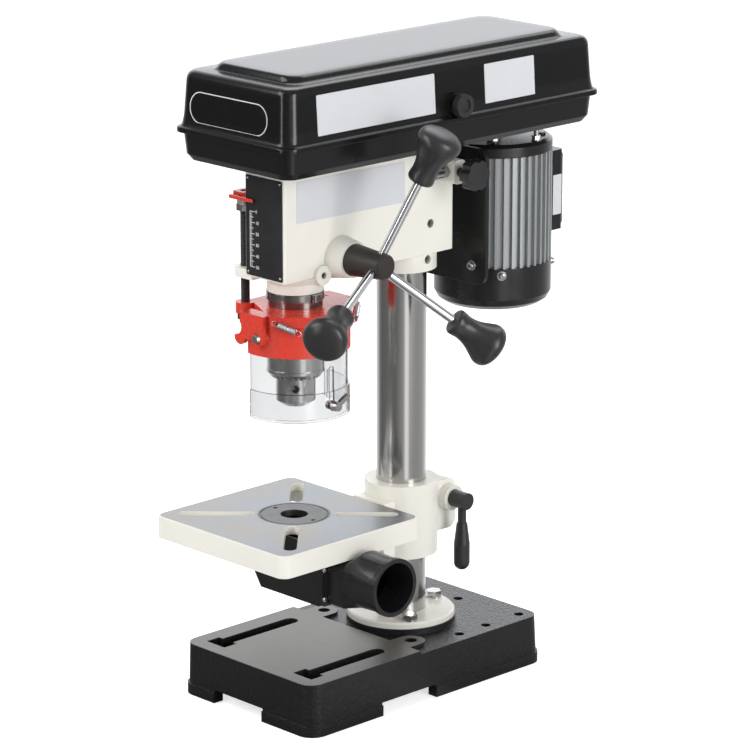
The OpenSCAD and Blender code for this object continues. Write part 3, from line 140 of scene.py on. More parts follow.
class Flow:
    """A socket on which sums, products, quotients and comparisons are written as plain expressions."""

    def __init__(self, tree, socket):
        self.tree = tree
        self.socket = socket

    def __add__(self, other):
        return self.tree.maths("ADD", self, other)

    __radd__ = __add__

    def __sub__(self, other):
        return self.tree.maths("SUBTRACT", self, other)

    def __rsub__(self, other):
        return self.tree.maths("SUBTRACT", other, self)

    def __mul__(self, other):
        return self.tree.maths("MULTIPLY", self, other)

    __rmul__ = __mul__

    def __truediv__(self, other):
        return self.tree.maths("DIVIDE", self, other)

    def __rtruediv__(self, other):
        return self.tree.maths("DIVIDE", other, self)

    def __gt__(self, other):
        return self.tree.maths("GREATER_THAN", self, other)

    def __lt__(self, other):
        return self.tree.maths("LESS_THAN", self, other)


class NodeTree:
    """The nodes of a material or of the room, all made by one method."""

    def __init__(self, tree):
        self.tree = tree
        tree.nodes.clear()

    def put(self, socket, value):
        """A flow is linked to the socket, anything else becomes its own value."""
        if isinstance(value, Flow):
            self.tree.links.new(value.socket, socket)
        elif hasattr(socket.default_value, "__len__") and len(value) == 3 and len(socket.default_value) == 4:
            socket.default_value = (*value, 1.0)
        else:
            socket.default_value = value

    def node(self, kind, sockets=None, out=0, **settings):
        """A shader node of this kind: settings first, then its sockets' values or links; the flow of one output."""
        made = self.tree.nodes.new("ShaderNode" + kind)
        for name, value in settings.items():
            if name == "stops":
                ramp = made.color_ramp.elements
                for place, _ in value[len(ramp):]:
                    ramp.new(place)
                for stop, (place, colour) in zip(ramp, value):
                    stop.position = place
                    stop.color = (*colour, 1.0)
            else:
                setattr(made, name, value)
        for name, value in (sockets or {}).items():
            self.put(made.inputs[name], value)
        return None if out is None else Flow(self, made.outputs[out])

    def maths(self, operation, *values):
        """One Math node on these values, numbers or flows."""
        return self.node("Math", dict(enumerate(values)), operation=operation)

    def dot(self, one, other):
        """The dot product of two vectors."""
        return self.node("VectorMath", {0: one, 1: other}, "Value", operation="DOT_PRODUCT")

    def axis(self, name, vector):
        """One coordinate of a vector."""
        return self.node("SeparateXYZ", {0: vector}, name)

    def between(self, value, low, high, first=0.0, last=1.0):
        """The value carried from the span low to high onto first to last, and held there beyond it."""
        return self.node("MapRange", {0: value, 1: low, 2: high, 3: first, 4: last})

    def varied(self, noise, first, last):
        """First to last, as a noise runs through the middle of its span, where most of its values lie."""
        return self.between(noise, 0.3, 0.7, first, last)


class Finish(NodeTree):
    """A material built from nodes, on the object's own coordinates in metres."""

    def __init__(self, name, **constants):
        self.material = bpy.data.materials.new(name)
        self.material.use_nodes = True
        super().__init__(self.material.node_tree)
        self.shader = self.tree.nodes.new("ShaderNodeBsdfPrincipled")
        self.node("OutputMaterial", {"Surface": Flow(self, self.shader.outputs[0])}, None)
        self.feed(**constants)
        self.place = self.node("TexCoord", out="Object")

    def feed(self, **sockets):
        """Values or flows for the surface shader, its sockets' names with underscores."""
        for name, value in sockets.items():
            self.put(self.shader.inputs[name.replace("_", " ")], value)

    def about(self, centre, turn=0.0):
        """The object's coordinates, turned about Z and then moved back by a centre in millimetres."""
        return self.node("Mapping", {
            "Vector": self.place, "Location": (-centre[0] * MM, -centre[1] * MM, 0.0), "Rotation": (0.0, 0.0, turn)})

    def stretched(self, x, y, z, place=None):
        """These coordinates, or the object's own, each drawn out by its own factor."""
        return self.node("Mapping", {
            "Vector": place or self.place, "Scale": (x, y, z)})

    def upward(self):
        """How far a face looks up: 1 on a level top, 0 on a wall."""
        return self.axis("Z", self.node("TexCoord", out="Normal"))

    def ground_bare(self, height):
        """1 on the level tops above this height in millimetres, 0 elsewhere."""
        return self.between(self.upward(), 0.90, 0.97) * (self.axis("Z", self.place) > height * MM)

    def grain(self, size, detail=2.0, place=None, rough=0.5):
        """Noise from 0 to 1 whose lumps are about this size in millimetres."""
        return self.node("TexNoise", {
            "Vector": place or self.place, "Scale": 1.0 / (size * MM), "Detail": detail, "Roughness": rough})

    def orange_peel(self):
        """The skin of sprayed paint: fine lumps on wider ones."""
        return self.grain(1.9) * 0.75 + self.grain(6.5) * 0.5

    def blend(self, share, one, other):
        """Colour one where the share is 0, the other where it is 1."""
        return self.node("Mix", {0: share, 6: one, 7: other}, 2, data_type="RGBA")

    def tinted(self, colour, share, spread):
        """A colour that varies by this spread to either side as the share runs from 0 to 1."""
        high = tuple(min(1.0, c) for c in shade(colour, 1.0 + spread))
        return self.blend(share, shade(colour, 1.0 - spread), high)

    def rounded_edges(self, radius):
        """The normal near an edge as if it were rounded to this radius in millimetres."""
        return self.node("Bevel", {"Radius": radius * MM}, samples=4)

    def relief(self, height, depth, strength, edge=None):
        """A bump whose height from 0 to 1 is this deep in millimetres, on edges rounded to a radius or left sharp."""
        sockets = {"Height": height, "Distance": depth * MM, "Strength": strength}
        if edge:
            sockets["Normal"] = self.rounded_edges(edge)
        return self.node("Bump", sockets)


def shade(colour, factor):
    """A colour times one factor, or times a factor each for red, green and blue."""
    return tuple(np.multiply(colour, factor).tolist())


def ivory_paint(name, colour):
    """Sprayed ivory paint on a casting: fine orange peel, soft edges, faint clouds and a little dust in the paint."""
    finish = Finish(name, Specular_IOR_Level=0.45, Coat_Roughness=0.12)
    clouds = finish.grain(38.0, 3.0)
    dust = finish.between(finish.grain(0.8, 1.0), 0.74, 0.80)
    finish.feed(
        Base_Color=finish.blend(dust * 0.35, finish.tinted(colour, clouds, 0.03), shade(colour, 0.72)),
        Roughness=finish.varied(clouds, 0.30, 0.40),
        Coat_Weight=finish.varied(clouds, 0.30, 0.20),
        Normal=finish.relief(finish.orange_peel(), 0.05, 0.7, 0.8))


def gloss_cover(name, colour):
    """Gloss black paint on pressed sheet: a fine leather-like ripple under a deep shine."""
    finish = Finish(name, Specular_IOR_Level=0.36, Coat_Roughness=0.06)
    ripple = finish.grain(2.0, 3.0, rough=0.6)
    clouds = finish.grain(45.0, 3.0)
    finish.feed(
        Base_Color=finish.tinted(colour, clouds, 0.25),
        Roughness=finish.varied(ripple, 0.20, 0.26),
        Coat_Weight=finish.between(ripple, 0.35, 0.65, 0.12, 0.22),
        Normal=finish.relief(ripple, 0.10, 0.6, 0.7))


def cast_black(name, colour, ground, pad_height):
    """Textured black paint on cast iron, ground bare on every level top above pad_height in millimetres."""
    finish = Finish(name, Specular_IOR_Level=0.34)
    sand = finish.grain(1.4, 4.0, rough=0.65)
    pits = finish.grain(3.2)
    bare = finish.ground_bare(pad_height)
    strokes = finish.grain(2.0, 3.0, finish.stretched(0.12, 2.2, 1.0))
    dark_ground = shade(ground, (0.37, 0.36, 0.34))
    finish.feed(
        Base_Color=finish.blend(bare, finish.tinted(colour, pits, 0.30), finish.tinted(dark_ground, strokes, 0.22)),
        Metallic=bare * 0.85,
        Roughness=finish.between(finish.upward(), 0.5, 0.9, 0.36, 0.24) + bare * 0.14,
        Normal=finish.relief((sand * 0.5 + pits) * (1.08 - bare), 0.85, 0.8, 1.2))


def steel_rings(name, colour, size, roughness, spread=0.08):
    """Turned steel: fine tool rings round an upright axis and long faint streaks along it."""
    finish = Finish(name, Metallic=1.0)
    rings = finish.grain(size, 2.0, finish.stretched(0.02, 0.02, 1.0))
    streaks = finish.grain(6.0, 2.0, finish.stretched(1.0, 1.0, 0.02))
    finish.feed(
        Base_Color=finish.tinted(colour, rings * 0.4 + streaks * 0.6, spread),
        Roughness=finish.between(rings * 0.5 + streaks * 0.5, 0.35, 0.65, *roughness),
        Normal=finish.relief(rings, 0.003, 0.25, 0.5))


def bright_steel(name, colour, roughness=(0.20, 0.32), grain=1.6):
    """Plain machined or plated steel: soft mottling and rounded edges."""
    finish = Finish(name, Metallic=1.0)
    mottle = finish.grain(grain, 3.0)
    clouds = finish.grain(14.0)
    finish.feed(
        Base_Color=finish.tinted(colour, mottle, 0.08),
        Roughness=finish.varied(clouds, *roughness),
        Normal=finish.relief(mottle, 0.012, 0.4, 0.4))


def threaded_steel(name, colour, centre, pitch):
    """A dark rod with a thread of this pitch in millimetres: a sine wave up the rod that climbs one pitch a turn."""
    finish = Finish(name, Metallic=0.85)
    moved = finish.about(centre)
    turn = finish.maths("ARCTAN2", finish.axis("Y", moved), finish.axis("X", moved))
    climb = finish.axis("Z", finish.place) * (FULL_TURN / (pitch * MM)) + turn
    ridge_and_groove_shade = finish.maths("SINE", climb) * 0.5 + 0.5
    # The thread's grooves are painted darker than its ridges: painted shade in the grooves, on top of the bump
    finish.feed(
        Base_Color=finish.blend(ridge_and_groove_shade, shade(colour, 0.35), colour),
        Roughness=finish.varied(finish.grain(3.0), 0.30, 0.45),
        Normal=finish.relief(ridge_and_groove_shade, 0.5, 0.9))


def red_gloss(name, colour):
    """Gloss red enamel: a soft flow of the paint and rounded edges."""
    finish = Finish(name, Specular_IOR_Level=0.5, Coat_Roughness=0.05)
    flow = finish.grain(5.0)
    clouds = finish.grain(22.0, 3.0)
    finish.feed(
        Base_Color=finish.tinted(colour, clouds, 0.05),
        Roughness=finish.varied(flow, 0.25, 0.30),
        Coat_Weight=finish.varied(flow, 0.15, 0.20),
        Normal=finish.relief(flow, 0.004, 0.2, 0.9))


def moulded_black(name, colour, roughness, edge, grain=0.9, depth=0.02):
    """Moulded black plastic: a fine mould grain, faint flow clouds and rounded edges."""
    finish = Finish(name, Specular_IOR_Level=0.5)
    texture = finish.grain(grain)
    clouds = finish.grain(18.0, 3.0)
    finish.feed(
        Base_Color=finish.tinted(colour, clouds, 0.25),
        Roughness=finish.varied(clouds, *roughness),
        Normal=finish.relief(texture, depth, 0.6, edge))


def cast_alloy(name, colour):
    """Die-cast alloy with a silver wash: sandy skin and a soft, half metallic shine."""
    finish = Finish(name, Metallic=0.55, Specular_IOR_Level=0.5)
    sand = finish.grain(1.1, 3.0, rough=0.6)
    clouds = finish.grain(26.0, 3.0)
    finish.feed(
        Base_Color=finish.tinted(colour, clouds * 0.6 + sand * 0.4, 0.10),
        Roughness=finish.varied(sand, 0.36, 0.48),
        Normal=finish.relief(sand, 0.05, 0.6, 0.5))


def clear_plastic(name, colour):
    """Clear moulded sheet: near-smooth, with the faintest flow in its surface, and painted grey shade along its
    edges, where the rounded normal leaves the true one."""
    finish = Finish(name, Transmission_Weight=1.0, IOR=1.46, Specular_IOR_Level=0.5)
    flow = finish.grain(12.0)
    true_normal = finish.node("NewGeometry", out="True Normal")
    # Grey where the rounded normal leaves the true one: painted shade along the sheet's edges, standing in for the
    # dark lines light makes there
    edge = finish.between(finish.dot(finish.rounded_edges(1.1), true_normal), 0.995, 0.90)
    finish.feed(
        Base_Color=finish.blend(edge, colour, shade(colour, 0.42)),
        Roughness=finish.varied(flow, 0.015, 0.05),
        Normal=finish.relief(flow, 0.05, 0.3))


def drive_rubber(name):
    """Rubber of the drive belt: dull black with fine cloth lines along it."""
    finish = Finish(name, Specular_IOR_Level=0.3)
    lines = finish.grain(0.8, 2.0, finish.stretched(0.15, 0.15, 1.0))
    dust = finish.grain(9.0, 3.0)
    finish.feed(
        Base_Color=finish.blend(dust, (0.012, 0.012, 0.012), (0.030, 0.029, 0.028)),
        Roughness=finish.varied(dust, 0.70, 0.88),
        Normal=finish.relief(lines, 0.06, 0.7))


def ground_table(name, paint, iron, top, centre):
    """Ivory paint on the sides, and above this height in millimetres a top ground bare, with long strokes of the
    wheel and patches of cool and warm stain."""
    finish = Finish(name, Specular_IOR_Level=0.45, Coat_Roughness=0.12)
    bare = finish.ground_bare(top)
    strokes = finish.grain(1.6, 4.0, finish.stretched(0.06, 1.6, 1.0, finish.about(centre, 0.55)))
    clouds = finish.grain(36.0, 3.0)
    stain = finish.between(finish.grain(52.0, 4.0, rough=0.6), 0.42, 0.68)
    cool = finish.tinted(shade(iron, (0.66, 0.70, 0.78)), strokes, 0.14)
    warm = finish.tinted(shade(iron, (0.74, 0.68, 0.62)), strokes, 0.14)
    peel = finish.between(bare, 0.0, 1.0, 1.0, 0.12) * finish.orange_peel()
    finish.feed(
        Base_Color=finish.blend(bare, finish.tinted(paint, clouds, 0.03), finish.blend(stain, cool, warm)),
        Metallic=bare * 0.9,
        Roughness=finish.varied(strokes, 0.30, 0.40),
        Coat_Weight=(1.0 - bare) * 0.25,
        Normal=finish.relief(peel, 0.05, 0.7, 0.7))


def ground_insert(name, iron, centre):
    """Dark ground iron of the table insert: rings of the turning tool, a sine of the reach from its middle."""
    finish = Finish(name, Metallic=0.9)
    ring_pitch = 0.6
    level = finish.node("VectorMath", {0: finish.about(centre), 1: (1.0, 1.0, 0.0)}, operation="MULTIPLY")
    reach = finish.node("VectorMath", {0: level}, "Value", operation="LENGTH")
    rings = finish.maths("SINE", reach * (FULL_TURN / (ring_pitch * MM))) * 0.5 + 0.5
    clouds = finish.grain(12.0, 3.0)
    finish.feed(
        Base_Color=finish.tinted(shade(iron, 0.30), clouds, 0.25),
        Roughness=finish.varied(clouds, 0.34, 0.46),
        Normal=finish.relief(rings, 0.02, 0.5, 0.4))


def bare_film(name, colour):
    """Off-white film of a bare plate: satin, very slightly uneven."""
    finish = Finish(name, Specular_IOR_Level=0.5)
    wave = finish.grain(16.0)
    finish.feed(
        Base_Color=finish.tinted(colour, wave, 0.02),
        Roughness=finish.varied(wave, 0.30, 0.36),
        Normal=finish.relief(wave, 0.02, 0.2))


def printed_white(name):
    """White print of the depth scale: a dull ink that is a little thin in places."""
    finish = Finish(name, Specular_IOR_Level=0.4)
    ink = finish.grain(1.2)
    finish.feed(
        Base_Color=finish.blend(ink, (0.66, 0.66, 0.65), (0.82, 0.82, 0.81)),
        Roughness=finish.varied(ink, 0.45, 0.6))


def light_paths(tree):
    """Two masks for the floor and the room: a ray that a shiny face sent here, and one from the camera, straight or
    through a clear piece."""
    glossy, depth, camera, through = (tree.node("LightPath", out=name) for name in (
        "Is Glossy Ray", "Glossy Depth", "Is Camera Ray", "Is Transmission Ray"))
    shiny = tree.maths("MAXIMUM", glossy, depth > 0.5)
    return shiny, tree.maths("MAXIMUM", camera, through) * (1.0 - shiny)


def studio_round(tree, toward):
    """How bright the studio is all round, by the turn of a direction about Z: white behind, dim in front on the left,
    a bright strip a little to the right of the camera and half light on the right."""
    turn = tree.maths("ARCTAN2", tree.axis("Y", toward), tree.axis("X", toward))
    levels = [
        (-180, 0.80), (-165, 0.34), (-150, 0.13), (-72, 0.13), (-52, 0.24), (-32, 0.36), (-27, 0.95), (-14, 0.95),
        (-8, 0.36), (10, 0.28), (44, 0.36), (66, 0.44), (104, 0.92), (165, 0.92), (180, 0.80)]
    stops = [(degrees / 360.0 + 0.5, (light, light, light)) for degrees, light in levels]
    return tree.node("ValToRGB", {0: turn / FULL_TURN + 0.5}, stops=stops)


def frame_on(normal):
    """Two directions across a normal, and the normal, as a right-handed set."""
    w = np.asarray(normal, float)
    w = w / np.linalg.norm(w)
    u = np.cross(Z if abs(w[2]) < 0.9 else X, w)
    u = u / np.linalg.norm(u)
    return u, np.cross(w, u), w


def level_ways(degrees):
    """Level directions (cos a, sin a, 0) at these angles."""
    angle = np.radians(degrees)
    return np.stack([np.cos(angle), np.sin(angle), np.zeros(len(angle))], 1)


def skin(rings, caps=True, wrap=False):
    """Closed rings, rows by points by 3, joined row to row by quads, with the end rows filled or joined too."""
    rows, points, _ = rings.shape
    row, point = np.meshgrid(np.arange(rows - (not wrap)), np.arange(points), indexing="ij")
    after = (point + 1) % points
    above = (row + 1) % rows
    quads = np.stack([row * points + point, row * points + after, above * points + after,
                      above * points + point], axis=-1).reshape(-1, 4)
    faces = quads.tolist()
    if caps and not wrap:
        faces.append(np.arange(points)[::-1].tolist())
        faces.append(np.arange((rows - 1) * points, rows * points).tolist())
    return rings.reshape(-1, 3), faces


def turned(radius, height, points=32, sides=0):
    """A profile turned about Z: point (r cos a, r sin a, h); with sides, r follows a regular polygon's flats."""
    angle = np.arange(points) * FULL_TURN / points
    radius = np.asarray(radius, float)[:, None] * np.ones(points)
    if sides:
        flat = np.pi / sides
        shape = np.cos(flat) / np.cos((angle + flat) % (2.0 * flat) - flat)
        radius = radius * shape
    return np.stack([radius * np.cos(angle), radius * np.sin(angle),
                     np.asarray(height, float)[:, None] * np.ones(points)], axis=-1)


def rounded_outline(x0, x1, y0, y1, r, arc):
    """Rounded rectangles, one for each entry: four quarter arcs r (cos a, sin a) about the corner centres."""
    x0, x1, y0, y1, r = (np.asarray(v, float)[:, None, None] for v in np.broadcast_arrays(x0, x1, y0, y1, r))
    corner = np.arange(4)[None, :, None]
    angle = (corner + np.linspace(0.0, 1.0, arc)[None, None, :]) * np.pi / 2.0
    cx = np.where((corner == 0) | (corner == 3), x1 - r, x0 + r)
    cy = np.where(corner < 2, y1 - r, y0 + r)
    flat = np.stack([cx + r * np.cos(angle), cy + r * np.sin(angle)], axis=-1)
    return flat.reshape(flat.shape[0], -1, 2)


def softened(points, reach, steps):
    """A polyline whose inner corners become parabolas from reach before to reach after each corner."""
    points = np.asarray(points, float)
    reach = np.asarray(reach, float)[:, None]
    before, corner, after = points[:-2], points[1:-1], points[2:]
    back = np.linalg.norm(before - corner, axis=1, keepdims=True)
    ahead = np.linalg.norm(after - corner, axis=1, keepdims=True)
    start = corner + (before - corner) * np.minimum(reach / back, 0.48)
    end = corner + (after - corner) * np.minimum(reach / ahead, 0.48)
    t = np.linspace(0.0, 1.0, steps)[None, :, None]
    curve = start[:, None] * (1 - t) ** 2 + 2 * corner[:, None] * t * (1 - t) + end[:, None] * t ** 2
    return np.concatenate([points[:1], curve.reshape(-1, points.shape[1]), points[-1:]])


def eased(points, steps):
    """A smooth line through points: between two of them the cubic whose slopes are half the span of their
    neighbours."""
    points = np.asarray(points, float)
    held = np.concatenate([points[:1], points, points[-1:]])
    t = np.arange(steps)[None, :, None] / steps
    a, b, c, d = (held[i:len(held) - 3 + i][:, None] for i in range(4))
    curve = b + t * (c - a) / 2 + t ** 2 * (a - 2.5 * b + 2 * c - d / 2) + t ** 3 * (d - a + 3 * (b - c)) / 2
    return np.concatenate([curve.reshape(-1, points.shape[1]), points[-1:]])


def set_at(shell, origins, normal):
    """Copies of a shell standing on these places, its own Z along the normal."""
    places, faces = shell
    origins = np.atleast_2d(np.asarray(origins, float))
    moved = (places @ np.stack(frame_on(normal)))[None] + origins[:, None]
    count = len(places)
    return moved.reshape(-1, 3), [[v + k * count for v in f] for k in range(len(origins)) for f in faces]


def joined(shells):
    """Several shells as one."""
    starts = np.cumsum([0] + [len(s[0]) for s in shells])
    faces = [[v + start for v in f] for (_, fs), start in zip(shells, starts) for f in fs]
    return np.concatenate([s[0] for s in shells]), faces


def pan_screw(radius, height):
    """A domed screw head with a cross: height falls as the square of the reach, less the cross's depth."""
    points = 48
    share = np.array([1.0, 1.0, 0.93, 0.78, 0.62, 0.5, 0.4, 0.3, 0.2, 0.1, 0.02])
    level = np.array([0.0, 0.5, 0.72, 0.86, 0.93, 0.96, 0.98, 0.99, 1.0, 1.0, 1.0])
    rings = turned(share * radius, level * height, points)
    flat = np.abs(rings[..., :2]) / radius
    cross = (flat.min(axis=-1) < 0.13) & (flat.max(axis=-1) < 0.56)
    rings[..., 2] -= cross * height * 0.6
    return skin(rings)


def hex_bolt(width, height, washer):
    """A hexagon head whose upper corners are turned down, on a round washer face."""
    across = width / 2.0 / np.cos(np.pi / 6.0)
    head = turned([across, across, across * 0.93], [washer, washer + height * 0.88, washer + height], 48, 6)
    face = turned([width * 0.62, width * 0.62, width * 0.60], [0.0, washer * 0.8, washer])
    return joined([skin(head), skin(face)])


def socket_screw(radius, height, depth):
    """A round head with a hexagon socket sunk into its top."""
    outer = turned([radius, radius, radius * 0.94, radius * 0.60], [0.0, height * 0.85, height, height], 48)
    inner = turned([radius * 0.56, radius * 0.54, radius * 0.05], [height, height - depth, height - depth], 48, 6)
    return skin(np.concatenate([outer, inner]))


def washer_screw(radius):
    """A domed cross head on a spring washer and a flat washer of this radius."""
    washers = skin(turned([radius, radius, radius * 0.97, radius * 0.76, radius * 0.76], [0.0, 0.8, 1.0, 1.0, 2.0]))
    places, faces = pan_screw(radius * 0.74, radius * 0.5)
    return joined([washers, (places + [0.0, 0.0, 2.0], faces)])


def rivet(radius, height):
    """A low dome: height falls with the square of the reach."""
    share = np.array([1.0, 0.96, 0.85, 0.65, 0.4, 0.1])
    return skin(turned(share * radius, (1.05 - share ** 2) * height, 24))


def bar(x0, x1, y0, y1, z0, z1):
    """A plain slab between two corners, its edges left sharp."""
    outline = np.array([[x1, y1], [x0, y1], [x0, y0], [x1, y0]], float)
    return skin(raised(np.stack([outline, outline]), np.array([z0, z1], float)))


def raised(outlines, level):
    """Flat outlines, rows by points by 2, each row lifted to its own level."""
    return np.concatenate([outlines, np.broadcast_to(level[:, None, None], (*outlines.shape[:2], 1))], axis=-1)


def inset_outlines(width, height, corner, inset, arc):
    """Rounded rectangles about the origin, each drawn in by its own inset."""
    return rounded_outline(inset - width / 2, width / 2 - inset, inset - height / 2, height / 2 - inset,
                           corner - inset, arc)


def film_plate(width, height, corner, thickness):
    """A thin plate with round corners, lying on the plane of its own X and Y, with a soft upper edge."""
    inset = np.array([0.0, 0.0, 0.1, 0.35]) * thickness * 2.0
    level = np.array([-0.3, 0.6, 0.9, 1.0]) * thickness
    return skin(raised(inset_outlines(width, height, corner, inset, 8), level))


def rim_band(width, height, corner, band, thickness):
    """A narrow flat band round a rounded outline: an outer and an inner outline, low and high, closed round."""
    inset = np.array([0.0, 0.0, band, band])
    level = np.array([-0.5, 1.0, 1.0, -0.5]) * thickness
    return skin(raised(inset_outlines(width, height, corner, inset, 16), level), wrap=True)


def tube(path, across, radius):
    """A round wire along a line: at each point a circle in the plane of two directions square to the line."""
    path = np.asarray(path, float)
    ahead = np.gradient(path, axis=0)
    ahead = ahead / np.linalg.norm(ahead, axis=1, keepdims=True)
    one = across - (ahead @ across)[:, None] * ahead
    one = one / np.linalg.norm(one, axis=1, keepdims=True)
    two = np.cross(ahead, one)
    points = 8
    angle = np.arange(points) * FULL_TURN / points
    ring = one[:, None] * np.cos(angle)[:, None] + two[:, None] * np.sin(angle)[:, None]
    return skin(path[:, None] + radius * ring)


def coil_spring(start, end, outward, radius, wire):
    """A tension spring: a helix of touching turns on the line between two hooks, each hook an arc round its end."""
    along = (end - start) / np.linalg.norm(end - start)
    out = outward - (along @ outward) * along
    out = out / np.linalg.norm(out)
    side = np.cross(along, out)
    loop, lead, tuck, pitch = 2.1, 3.4, 0.4, 2.08 * wire
    body = np.linalg.norm(end - start) - 2.0 * lead
    turns = int(body / pitch)
    turn = np.linspace(0.0, FULL_TURN * turns, turns * 20 + 1)[:, None]
    coil = start + along * (lead + body * turn / turn[-1]) + radius * (np.cos(turn) * side + np.sin(turn) * out)
    bend = np.radians(np.linspace(-100.0, 165.0, 30))[:, None]
    arc = loop * (np.sin(bend) * side - np.cos(bend) * along)
    step = along * (lead - tuck) + side * (radius - tuck)
    first = np.concatenate([start + arc, [start + step, coil[3]]])
    last = np.concatenate([end - arc, [end - step, coil[-11]]])
    return joined([tube(coil, along, wire), tube(first, out, wire), tube(last, out, wire)])


def painted(name, shell, finish, slot, *stands_for):
    """A piece from a shell in millimetres: smooth except at sharp edges, at the origin, with its finish; the slot is
    not used.
    """
    places, faces = shell
    sharp = np.radians(34.0)
    mesh = bpy.data.meshes.new(name)
    mesh.from_pydata((places * MM).tolist(), [], faces)
    mesh.update()
    mesh.shade_smooth()
    mesh.set_sharp_from_angle(angle=sharp)
    piece = bpy.data.objects.new(name, mesh)
    bpy.context.scene.collection.objects.link(piece)
    mesh.materials.append(bpy.data.materials[finish])
    if stands_for:
        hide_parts(*stands_for)
    return piece


def settle(name, shell, finish, body, slot, *stands_for):
    """A painted piece that rides on one body."""
    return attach(painted(name, shell, finish, slot, *stands_for), body)


class DRILLPRESS_OT_finishes(bpy.types.Operator):
    """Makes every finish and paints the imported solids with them"""
    bl_idname = "drillpress.finishes"
    bl_label = "Finishes"

    def execute(self, context):
        tone = context.scene.drill_press_colours
        insert = solid_box("table_insert").mean(axis=0)
        rod = solid_box("depth_rod").mean(axis=0)
        boss_rise, margin = 2.5, 0.2
        pad = solid_box("base")[1, 2] - boss_rise - margin
        table_top = solid_box("work_table")[1, 2] - 2.0 * margin
        thread_pitch = 1.25
        # How each finish is made, its name, its settings and the solids that it goes on
        plan = [
            (cast_black, "cast_black_pad", (tone.casting, tone.ground, pad), "base"),
            (ivory_paint, "ivory_casting", (tone.ivory,), "head_casting", "column_flange", "table_bracket"),
            (ground_table, "ivory_table", (tone.ivory, tone.ground, table_top, insert), "work_table"),
            (steel_rings, "column_steel", (tone.steel, 2.0, (0.16, 0.20), 0.05), "column"),
            (steel_rings, "turned_bright", (tone.steel, 0.7, (0.18, 0.30)),
             "quill", "spindle", "drive_sleeve", "motor_shaft", "pinion_shaft"),
            (bright_steel, "plain_steel", (tone.steel,),
             "flange_bolts", "pulley_bearings", "quill_bearings", "guard_pivots", "oscillator_gear", "tilt_bolt",
             "lid_hinge_pins", "wing_bolt", "slide_rods", "depth_nuts"),
            (bright_steel, "spring_steel", (tone.chrome, (0.20, 0.30), 0.6),
             "return_spring", "guard_spring_front", "guard_spring_rear"),
            (bright_steel, "hard_steel", (shade(tone.steel, 0.6), (0.28, 0.40), 1.0),
             "chuck_jaw_1", "chuck_jaw_2", "chuck_jaw_3"),
            (steel_rings, "chuck_steel", (tone.steel, 1.4, (0.15, 0.20), 0.06), "chuck_body", "chuck_sleeve"),
            (threaded_steel, "rod_thread", ((0.09, 0.09, 0.09), rod, thread_pitch), "depth_rod"),
            (ground_insert, "insert_iron", (tone.ground, insert), "table_insert"),
            (gloss_cover, "cover_gloss", (tone.cover,), "belt_pan", "belt_lid"),
            (moulded_black, "panel_black", (tone.plastic, (0.40, 0.50), 0.3), "scale_plate"),
            (red_gloss, "guard_red", (tone.guard,),
             "guard_plate", "guard_skirt", "depth_pointer", "switch_rocker"),
            (moulded_black, "knob_black", (shade(tone.plastic, 1.5), (0.30, 0.40), 1.0),
             "feed_knobs", "lid_knob", "slide_lock_right", "slide_lock_left", "table_clamp", "switch_box"),
            (moulded_black, "port_black", (tone.plastic, (0.16, 0.22), 0.8, 5.0, 0.015),
             "dust_hopper", "dust_port"),
            (moulded_black, "motor_black", (shade(tone.plastic, 0.75), (0.20, 0.28), 1.2, 1.6),
             "motor_plate", "motor_bottom_cap", "motor_top_cap", "junction_box", "spring_housing"),
            (moulded_black, "hub_dark", (tone.hub, (0.42, 0.54), 0.6, 0.7, 0.03), "feed_hub"),
            (steel_rings, "collar_steel", ((0.30, 0.28, 0.265), 1.0, (0.15, 0.20)), "quill_collar"),
            (bright_steel, "lever_chrome", (tone.chrome, (0.06, 0.12), 3.0), "feed_levers"),
            (cast_alloy, "motor_alloy", (tone.alloy,), "motor_case", "spindle_pulley", "motor_pulley"),
            (clear_plastic, "shield_clear", (tone.clear,), "shield_upper", "shield_lower"),
            (drive_rubber, "belt_rubber", (), "v_belt"),
            (bare_film, "plate_film", (tone.film,)),
            (printed_white, "scale_print", ()),
        ]
        nodes = frame["nodes"]
        for make, finish, settings, *names in plan:
            make(finish, *settings)
            for name in names:
                mesh = nodes[name].data
                mesh.materials.clear()
                mesh.materials.append(bpy.data.materials[finish])
        left = set(nodes) - {name for row in plan for name in row[3:]}
        if left:
            raise RuntimeError("no finish for " + ", ".join(sorted(left)))
        return {"FINISHED"}


